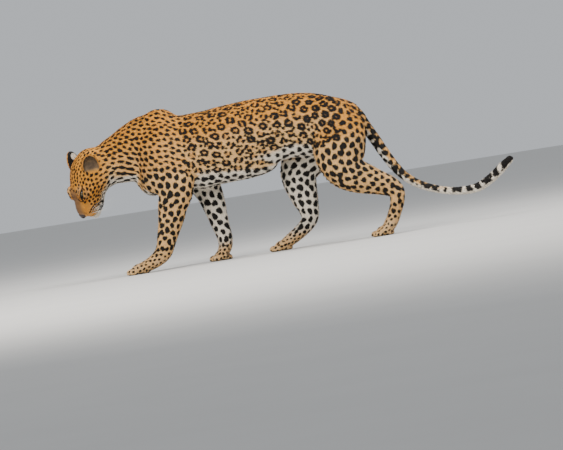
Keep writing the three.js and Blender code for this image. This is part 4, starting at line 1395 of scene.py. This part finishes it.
def coatMaterial(name, tufts):
    # the skin and the tufts carry the same colours, read from where the hair is rooted
    c = coatColors
    material, tree, shader = startMaterial(name, c["roughness"])
    nodes = tree.nodes
    shader.inputs["Sheen Weight"].default_value = c["sheen"]
    shader.inputs["Specular IOR Level"].default_value = c["specular"]
    ground = attributeNode(nodes, "ground")
    ground = mathNode(tree, "ADD", ground, waveringNode(tree, *c["patches"]), True)
    color = mixNode(tree, rampNode(tree, ground, *c["toBuff"]), c["white"], c["buff"])
    color = mixNode(tree, rampNode(tree, ground, *c["toOchre"]), color, c["ochre"])
    for paint, share, over in overlays:
        share = mathNode(tree, "MULTIPLY", attributeNode(nodes, paint), share)
        color = mixNode(tree, share, color, c[over])
    ragged = waveringNode(tree, *c["ragged"])
    edge = mathNode(tree, "ADD", attributeNode(nodes, "mark"), ragged)
    color = mixNode(tree, rampNode(tree, edge, *c["toBlack"]), color, c["black"])
    color = mixNode(tree, attributeNode(nodes, "sole"), color, c["sole"])
    if tufts:
        tint = mixNode(tree, attributeNode(nodes, "tone"), c["rootTint"], c["tipTint"])
    else:
        tint = mixNode(tree, noiseNode(tree, *c["hairs"]), c["skinTint"], (1.0, 1.0, 1.0))
    color = mixNode(tree, 1.0, color, tint, "MULTIPLY")
    tree.links.new(color, shader.inputs["Base Color"])
    scale, detail, strength, high = c["bump"]
    addBump(tree, shader, noiseNode(tree, scale, detail), strength, high)
    return material


# The tufts: how wide they are for their length, how high they stand, and how many to a cm2
coat = {
    "seed": 5,
    "width": 0.25,
    "lift": 1.05,
    "bodyPerCm2": 36,
    "facePerCm2": 120,
    "most": 52000,  # tufts in one piece
    "mostOfLarge": 1.25,  # and as many times that on each piece of the trunk and on the head
    "bellyDown": 0.5,  # the belly's piece is where the skin faces down by more than this
    "thinner": 1.2,  # longer tufts stand further apart by this power
    "stray": 0.16,
    "roll": 0.35,
    "lengths": (0.75, 1.2),
    "rises": (0.7, 1.25),
    "widths": (0.8, 1.25),
    "sunk": 0.0003,
    "bend": (0.5, 0.72, 0.85),  # how far along the bend is, how high, and how wide the tuft is there
    "floor": 0.0004,
    "toneSpread": 0.2,
    "tones": (-0.28, -0.28, 0.02, 0.02, 0.26),  # from the root to the tip
    "patch": 0.0015,
}
tuftLengths = {"trunk": 0.0078, "neck": 0.0080, "tail": 0.0088, "leg": 0.0058, "head": 0.0042}
tuftChanges = {
    "paw": (0.0034, 0.02, 0.16),  # length, from this height up to this one
    "belly": (0.35, 0.3, 0.8),  # longer by this share, the more the skin faces down
    "muzzle": (0.0026, 0.04, 0.10),
    "ruff": (0.5, 0.12, 0.19, -0.02, 0.02),  # longer behind the cheeks, below the middle of the head
}


def tuftLength(points, normals, distance):
    region = regionsOf(points, normals, distance)
    back, _, up = toHead(points).T
    length = sum(region[name] * tuftLengths[name] for name in tuftLengths)
    paw, low, high = tuftChanges["paw"]
    length = mix(paw, length, ease(points[:, 2], low, high) * region["leg"] + 1 - region["leg"])
    more, start, end = tuftChanges["belly"]
    length = length * (1 + more * region["trunk"] * ease(-normals[:, 2], start, end))
    muzzle, start, end = tuftChanges["muzzle"]
    length = mix(length, muzzle, region["head"] * (1 - ease(back, start, end)))
    more, start, end, top, foot = tuftChanges["ruff"]
    return length * (1 + more * region["head"] * ease(back, start, end) * ease(-up, top, foot))


headUnwrap = {"long": 0.26, "front": 0.05}


def unwrap(part, points):
    # along the limb and around it, with a narrow edge left free
    edge, wide = 0.04, 0.92
    if part == "head":
        back, side, up = toHead(points).T
        place = wide * np.clip(back / headUnwrap["long"] + headUnwrap["front"], 0, 1)
        around = np.arctan2(side, up)
    else:
        limbHere = limbsInOrder[partNames.index(part)]
        along, _, _, across, sideways, _, _ = limbPlaces(limbHere, points)
        place = wide * along / (len(limbHere["rows"]) - 1)
        around = np.arctan2(sideways, across)
    return np.stack([edge + place, 0.5 + wide * (around / fullTurn)], 1)


def growTufts(name, part, faces, values, count, rng, material, shift):
    # each tuft is a narrow blade of three triangles that bends along the lie of the hair
    verts = values["at"]
    area = 0.5 * np.linalg.norm(crossedSides(verts, faces), axis=1)
    weight = area * values["thick"][faces].mean(1)
    pick = np.searchsorted(np.cumsum(weight) / weight.sum(), rng.random(count)).clip(0, len(faces) - 1)
    u, v = rng.random((2, count))
    shares = np.stack([(1 - u) * (1 - v), u * (1 - v), u * v, (1 - u) * v], 1)

    def atRoot(data):
        return (data[faces[pick]] * (shares[:, :, None] if data.ndim == 2 else shares)).sum(1)

    root, out, flow = atRoot(verts), atRoot(values["out"]), atRoot(values["lie"])
    out /= np.linalg.norm(out, axis=1, keepdims=True) + tiny
    flow += rng.normal(0, coat["stray"], flow.shape)
    flow -= (flow * out).sum(1, keepdims=True) * out
    flow /= np.linalg.norm(flow, axis=1, keepdims=True) + tiny
    across = np.cross(out, flow)
    roll = rng.normal(0, coat["roll"], (count, 1))
    across = across * np.cos(roll) + out * np.sin(roll)
    length = (atRoot(values["length"]) * rng.uniform(*coat["lengths"], count))[:, None]
    rise = (atRoot(values["rise"]) * coat["lift"] * rng.uniform(*coat["rises"], count))[:, None]
    half = 0.5 * coat["width"] * length * rng.uniform(*coat["widths"], (count, 1))
    ahead, high, wide = coat["bend"]
    start = root - coat["sunk"] * out
    middle = root + ahead * length * flow + high * rise * out
    end = root + length * flow + rise * out
    blades = np.stack([start - half * across, start + half * across, middle - wide * half * across,
                       middle + wide * half * across, end], 1)
    blades[..., 2] = np.maximum(blades[..., 2], coat["floor"])
    corners = blades.shape[1]
    tris = np.array([(0, 1, 3), (0, 3, 2), (2, 3, 4)])
    allFaces = (np.arange(count)[:, None, None] * corners + tris).reshape(-1, 3)
    tuft = meshObject(name, blades.reshape(-1, 3) + shift, allFaces, material)
    painted = {key: np.repeat(atRoot(values[key]), corners) for key in paintNames}
    tone = np.clip(rng.normal(0.5, coat["toneSpread"], (count, 1)) + np.array(coat["tones"]), 0, 1)
    giveValues(tuft, {**painted, "tone": tone.ravel()})
    patch = coat["patch"] * np.array([(-1, -1), (1, -1), (-1, 0), (1, 0), (0, 1)])
    spots = unwrap(part, root)[:, None] + patch
    uv = tuft.data.uv_layers.new(name="OFBake")
    uv.data.foreach_set("uv", spots.reshape(-1, 2)[allFaces.ravel()].astype(np.float32).ravel())
    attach(tuft, "root")


eyeball = {
    "iris": 0.0072,
    "irisEdge": 0.0006,
    "outer": (0.0046, 0.0070),  # where gold turns to brown, from the pupil's middle
    "pupil": 0.0024,
    "pupilEdge": (0.0002, 0.0003),
    "bulge": 0.0011,
    "bulgeWide": 0.62,  # how far round from the gaze, in radians
    "slack": 0.0001,
    "rows": 36,
    "around": 48,
    "olive": (0.045, 0.036, 0.010),
    "gold": (0.17, 0.135, 0.035),
    "outerIris": (0.10, 0.055, 0.015),
    "aroundIris": (0.03, 0.018, 0.012),
    "black": (0.002, 0.002, 0.002),
}


def eyeMaterial():
    e = eyeball
    material, tree, shader = startMaterial("wet_eye", 0.16)
    shader.inputs["Coat Weight"].default_value = 0.5
    shader.inputs["Coat Roughness"].default_value = 0.05
    off = attributeNode(tree.nodes, "fromPupil")
    streaks = noiseNode(tree, 1400, 4)
    color = mixNode(tree, streaks, e["olive"], e["gold"])
    color = mixNode(tree, rampNode(tree, off, *e["outer"]), color, e["outerIris"])
    color = mixNode(tree, rampNode(tree, off, e["iris"], e["iris"] + e["irisEdge"]), color, e["aroundIris"])
    before, after = e["pupilEdge"]
    share = rampNode(tree, off, e["pupil"] - before, e["pupil"] + after)
    color = mixNode(tree, share, e["black"], color)
    tree.links.new(color, shader.inputs["Base Color"])
    addBump(tree, shader, streaks, 0.05, 0.0002)
    return material


def ringFaces(rings, around, first=0):
    # the faces of a tube, from one ring of points to the next
    cell = first + np.arange((rings - 1) * around).reshape(rings - 1, around)
    beside = np.roll(cell, -1, axis=1)
    return np.stack([cell, beside, beside + around, cell + around], -1).reshape(-1, 4)


def makeEyes(shift):
    # a ball that bulges over the iris, turned to where the animal looks
    e, material = eyeball, eyeMaterial()
    radius = eye["radius"] - e["slack"]
    turns = np.arange(e["around"]) * 2 * math.pi / e["around"]
    lean, turn = np.meshgrid(np.linspace(0, math.pi, e["rows"]), turns, indexing="ij")
    bulged = radius + e["bulge"] * np.exp(-(lean / e["bulgeWide"]) ** 4) - e["bulge"]
    for side, name in ((left, "left"), (right, "right")):
        gaze, along, tall = eyeAxes(side)
        across = np.cos(turn)[..., None] * along + np.sin(turn)[..., None] * tall
        ball = bulged[..., None] * (np.cos(lean)[..., None] * gaze + np.sin(lean)[..., None] * across)
        verts = fromHead(eyeSpots[side][0] + ball.reshape(-1, 3)) + shift
        faces = ringFaces(e["rows"], e["around"])
        if np.dot(np.cross(along, tall), gaze) > 0:
            faces = faces[:, ::-1]
        piece = meshObject("eyeball_" + name, verts, faces, material)
        giveValues(piece, {"fromPupil": (radius * np.sin(np.minimum(lean, math.pi / 2))).ravel()})
        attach(piece, "root")
        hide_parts("eye_" + name)


nose = {
    "form": (0.005, 0.006, 0.012, 0.0165, 0.0115),  # back, up and three half sizes
    "offSkin": 0.0004,
    "edge": 0.002,
    "nostril": (-0.004, 0.0085, 0.0045, 0.008, 0.0034, 0.0036),  # place and three half sizes
    "slit": (0.0035, 0.25, 0.0007),  # up, how it falls outwards, and half its width
    "crease": (0.0004, 0.0016),  # half its width and its depth
    "slitDeep": 0.0035,
    "soft": (0.0012, 0.0014),
    "cell": 0.0008,
    "low": (-0.014, -0.022, -0.012),
    "high": (0.022, 0.022, 0.022),
    "dark": (0.012, 0.008, 0.008),
    "pale": (0.045, 0.022, 0.020),
    "bare": 0.0022,  # no tufts grow this close to it
}


def noseField(q):
    back, side, up = q.T
    at, high, *sizes = nose["form"]
    value = eggField(back - at, side, up - high, *sizes)
    value = -blend(-value, -(baseHeadField(q) - nose["offSkin"]), nose["edge"])
    x, y, z, *sizes = nose["nostril"]
    height, fall, half = nose["slit"]
    soft, softer = nose["soft"]
    for s in (left, right):
        value = carve(value, eggField(back - x, side - y * s, up - z, *sizes), soft)
        slit = abs(up - height + fall * (abs(side) - y)) - half
        slit = np.maximum(slit, np.maximum(y - side * s, -nose["slitDeep"] - value))
        value = carve(value, slit, softer)
    half, deep = nose["crease"]
    return carve(value, np.maximum(abs(side) - half, -deep - value), softer)


def noseMaterial():
    material, tree, shader = startMaterial("nose_leather", 0.38)
    grain = tree.nodes.new("ShaderNodeTexVoronoi")
    grain.inputs["Scale"].default_value = 900
    tree.links.new(tree.nodes.new("ShaderNodeTexCoord").outputs["Object"], grain.inputs["Vector"])
    color = mixNode(tree, noiseNode(tree, 240, 3), nose["dark"], nose["pale"])
    tree.links.new(color, shader.inputs["Base Color"])
    addBump(tree, shader, grain.outputs["Distance"], 0.35, 0.0005)
    return material


def makeNose(shift):
    material = noseMaterial()
    verts, faces = drawSkin(noseField, nose["low"], nose["high"], nose["cell"])
    piece = meshObject("nose", fromHead(verts) + shift, faces, material)
    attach(piece, "root")
    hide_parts("nose_pad")


whiskers = {
    "seed": 3,
    "rows": 4,
    "inRow": 3,
    "from": (0.019, 0.004, -0.0095),  # a place inside the muzzle: back, aside and up
    "nextRow": (0.002, -0.0062),  # how much further back and up for each next row
    "nextHair": (0.0072, 0.0009),  # and for each next whisker in a row
    "rootedAt": (0, 1, -0.05),  # which way the surface is looked for
    "back": (0.35, 0.22, 0.1),  # how far it leans back, more for each next one, and how unevenly
    "aside": (0.85, 1.1),
    "up": (-0.05, -0.17, 0.08),  # how far up, more for each next row, and how unevenly
    "lengths": (0.060, 0.100),
    "lengthShares": (0.75, 0.12),  # of the first in a row, and more for each next one
    "radius": 0.00033,
    "sag": (0.25, 0, -0.45),
    "sagShare": 0.45,
    "sides": 5,
    "rings": 12,
    "taper": 0.88,
    "tones": ((0.62, 0.58, 0.52), (0.9, 0.88, 0.84)),
}
browWhiskers = {
    "count": 3,
    "from": (0.086, 0.030, 0.02),
    "next": 0.005,
    "rootedAt": (0, 0.25, 1),
    "way": (0.2, 0.5, 1.0),
    "nextWay": 0.25,
    "lengths": (0.03, 0.045),
    "radius": 0.0003,
    "sag": (0.5, 0, -0.2),
}


def whiskerRoot(start, way, sunk=0.001):
    return start + way * (outwardOnHead(start, way, 0.1, 500) - sunk)


def whiskerPlans(rng):
    # root, way, length, radius and sag of each: rows on the pads, and a few over each eye
    w, plans = whiskers, []
    back, aside, up = w["from"]
    rowBack, rowUp = w["nextRow"]
    hairBack, hairUp = w["nextHair"]
    lean, leanMore, leanUneven = w["back"]
    rise, riseMore, riseUneven = w["up"]
    share, shareMore = w["lengthShares"]
    rooted = [(s, row, k) for s in (left, right) for row in range(w["rows"]) for k in range(w["inRow"])]
    for s, row, k in rooted:
        start = (back + hairBack * k + rowBack * row, aside * s, up + rowUp * row + hairUp * k)
        root = whiskerRoot(np.array(start), unit(sided(w["rootedAt"], s)))
        way = unit((lean + leanMore * k + rng.uniform(-leanUneven, leanUneven),
                    s * rng.uniform(*w["aside"]),
                    rise + riseMore * row + rng.uniform(-riseUneven, riseUneven)))
        length = rng.uniform(*w["lengths"]) * (share + shareMore * k)
        plans.append((root, way, length, w["radius"], w["sag"]))
    b = browWhiskers
    for s in (left, right):
        for k in range(b["count"]):
            start, way = sided(b["from"], s), sided(b["way"], s)
            start[0] += b["next"] * k
            way[0] += b["nextWay"] * k
            root = whiskerRoot(start, unit(sided(b["rootedAt"], s)))
            plans.append((root, unit(way), rng.uniform(*b["lengths"]), b["radius"], b["sag"]))
    return plans


def makeWhiskers(shift):
    w = whiskers
    verts, faces = [], []
    t = np.linspace(0, 1, w["rings"])[:, None]
    turn = np.arange(w["sides"]) * 2 * math.pi / w["sides"]
    for root, way, length, radius, sag in whiskerPlans(np.random.default_rng(w["seed"])):
        path = root + way * length * t + np.array(sag) * length * w["sagShare"] * t ** 2
        first = np.cross(way, (0, 0, 1.0))
        first /= np.linalg.norm(first)
        second = np.cross(way, first)
        ring = np.cos(turn)[:, None] * first + np.sin(turn)[:, None] * second
        tube = path[:, None] + (radius * (1 - w["taper"] * t))[:, :, None] * ring
        faces.append(ringFaces(w["rings"], w["sides"], sum(len(v) for v in verts)))
        verts.append(fromHead(tube.reshape(-1, 3)))
    material, tree, shader = startMaterial("whisker_hair", 0.35)
    color = mixNode(tree, noiseNode(tree, 500, 2), *w["tones"])
    tree.links.new(color, shader.inputs["Base Color"])
    addBump(tree, shader, noiseNode(tree, 2500, 2), 0.2, 0.0001)
    piece = meshObject("whiskers", np.concatenate(verts) + shift, np.concatenate(faces), material)
    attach(piece, "root")


view = {
    "away": 12.0,
    "widthSeen": 1.9705,
    "roll": 9,  # degrees, as the photo's slope
    "height": 0.30,
    "middle": (-0.043, 0, 0.091),
    "sensor": 36,  # millimetres
}


def makeCamera(shift):
    camera = bpy.data.cameras.new("camera")
    camera.sensor_width = view["sensor"]
    camera.lens = view["sensor"] * view["away"] / view["widthSeen"]
    spot = bpy.data.objects.new("camera", camera)
    bpy.context.scene.collection.objects.link(spot)
    roll = math.radians(view["roll"])
    across = Vector((math.cos(roll), 0, -math.sin(roll)))
    upward = Vector((math.sin(roll), 0, math.cos(roll)))
    back = across.cross(upward)
    place = Vector(view["middle"]) + Vector((shift[0], 0, 0)) + back * view["away"]
    # the camera is raised off the floor, and its frame is shifted down by as much
    rise = view["height"] - place.z
    place.z += rise
    camera.shift_x = -rise * across.z / view["widthSeen"]
    camera.shift_y = -rise * upward.z / view["widthSeen"]
    turned = Matrix((across, upward, back)).transposed().to_4x4()
    spot.matrix_world = Matrix.Translation(place) @ turned
    bpy.context.scene.camera = spot


studio = {
    "lightsAimAt": (0, 0, 0.25),
    "floorHalf": 30,
    "floorTones": ((0.60, 0.59, 0.57), (0.66, 0.65, 0.63)),
    "room": (0.86, 0.90, 0.95, 1),
    "roomStrength": 0.62,
}


def areaLight(name, place, size, energy, color):
    light = bpy.data.lights.new(name, "AREA")
    light.energy, light.size, light.color = energy, size, color
    lamp = bpy.data.objects.new(name, light)
    lamp.location = place
    aim = Vector(studio["lightsAimAt"]) - Vector(place)
    lamp.rotation_euler = aim.to_track_quat("-Z", "Y").to_euler()
    bpy.context.scene.collection.objects.link(lamp)


def makeStudio():
    material, tree, shader = startMaterial("pale_floor", 0.9)
    color = mixNode(tree, noiseNode(tree, 3, 3), *studio["floorTones"])
    tree.links.new(color, shader.inputs["Base Color"])
    half = studio["floorHalf"]
    corners = np.array([(-half, -half, 0), (half, -half, 0), (half, half, 0), (-half, half, 0)], float)
    meshObject("floor", corners, np.array([(0, 1, 2, 3)]), material, False)
    world = bpy.data.worlds.new("room")
    world.use_nodes = True
    background = world.node_tree.nodes["Background"]
    background.inputs["Color"].default_value = studio["room"]
    background.inputs["Strength"].default_value = studio["roomStrength"]
    bpy.context.scene.world = world
    areaLight("soft_front", (-1.6, -3.2, 2.6), 2.2, 165, (1.0, 0.96, 0.90))
    areaLight("soft_above", (0.6, -0.4, 3.4), 3.0, 125, (1.0, 0.98, 0.95))


def makeSkin(verts, faces, paint, shift):
    skin = meshObject("skin", verts + shift, faces, coatMaterial("coat_on_skin", False))
    giveValues(skin, {key: paint[key] for key in paintNames})
    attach(skin, "root")
    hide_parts(*[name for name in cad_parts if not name.startswith(("eye_", "nose_"))])


furless = {"sole": 0.3, "eye": (0.0142, 0.0050, 0.014)}  # half the opening's length, height and depth


def hairGrows(verts, paint):
    # 0 on the soles, the nose and within the lids, and 1 elsewhere
    q = toHead(verts)
    bald = (paint["sole"] > furless["sole"]) | (noseField(q) < nose["bare"])
    long, tall, deep = furless["eye"]
    for side in (left, right):
        a, b, c = eyePlaces(q, side)
        bald |= (np.hypot(a / long, b / tall) < 1) & (abs(c) < deep)
    return 1 - bald.astype(float)


def coatPieces(verts, faces, normals, distance):
    # which faces each piece of the coat grows on: one for each part, and three for the trunk
    owner = distance[faces].mean(1).argmin(1)
    nearSide = verts[faces].mean(1)[:, 1] < 0
    belly = normals[faces].mean(1)[:, 2] < -coat["bellyDown"]
    pieces = []
    for i, part in enumerate(partNames):
        mine = owner == i
        if part == "trunk":
            pieces.append(("coat_belly", part, mine & belly))
            pieces.append(("coat_flank_left", part, mine & ~belly & nearSide))
            pieces.append(("coat_flank_right", part, mine & ~belly & ~nearSide))
        else:
            pieces.append(("coat_" + part, part, mine))
    return pieces


cm2PerM2 = 1e4


def tuftCount(part, area, length):
    if part == "head":
        perCm2 = coat["facePerCm2"]
    else:
        perCm2 = coat["bodyPerCm2"] * (tuftLengths["trunk"] / length) ** coat["thinner"]
    most = coat["most"] * (coat["mostOfLarge"] if part in ("trunk", "head") else 1)
    return int(min((area * cm2PerM2 * perCm2).sum(), most))


def growCoat(verts, faces, normals, lie, distance, paint, shift):
    rng = np.random.default_rng(coat["seed"])
    material = coatMaterial("coat_in_tufts", True)
    onHead = distance.argmin(1) == distance.shape[1] - 1
    values = {"at": verts, "out": normals, "lie": lie, "length": tuftLength(verts, normals, distance),
              "rise": np.where(onHead, skinDetail["faceDepth"], coatDepth(verts)),
              "thick": hairGrows(verts, paint), **paint}
    total = 0
    for name, part, mine in coatPieces(verts, faces, normals, distance):
        own = faces[mine]
        area = 0.5 * np.linalg.norm(crossedSides(verts, own), axis=1)
        count = tuftCount(part, area, values["length"][own].mean(1))
        growTufts(name, part, own, values, count, rng, material, shift)
        total += count
        print(name, count)
    print("tufts", total)


def makeLeopard():
    started = time.time()
    shift = frameShift()
    makeCamera(shift)
    makeStudio()
    print("drawing the skin")
    verts, faces = makeSkinMesh()
    normals, distance = vertexNormals(verts, faces), nearestPart(verts)
    lie = lieOf(verts, normals, distance)
    print("skin", len(verts), "points,", round(time.time() - started), "s")
    marks = scatterMarks(verts, normals, lie, distance)
    paint = paintCoat(verts, normals, distance, marks)
    print("marks", len(marks), ",", round(time.time() - started), "s")
    makeSkin(verts, faces, paint, shift)
    growCoat(verts, faces, normals, lie, distance, paint, shift)
    makeEyes(shift)
    makeNose(shift)
    makeWhiskers(shift)
    print("whole leopard", round(time.time() - started), "s")


makeLeopard()
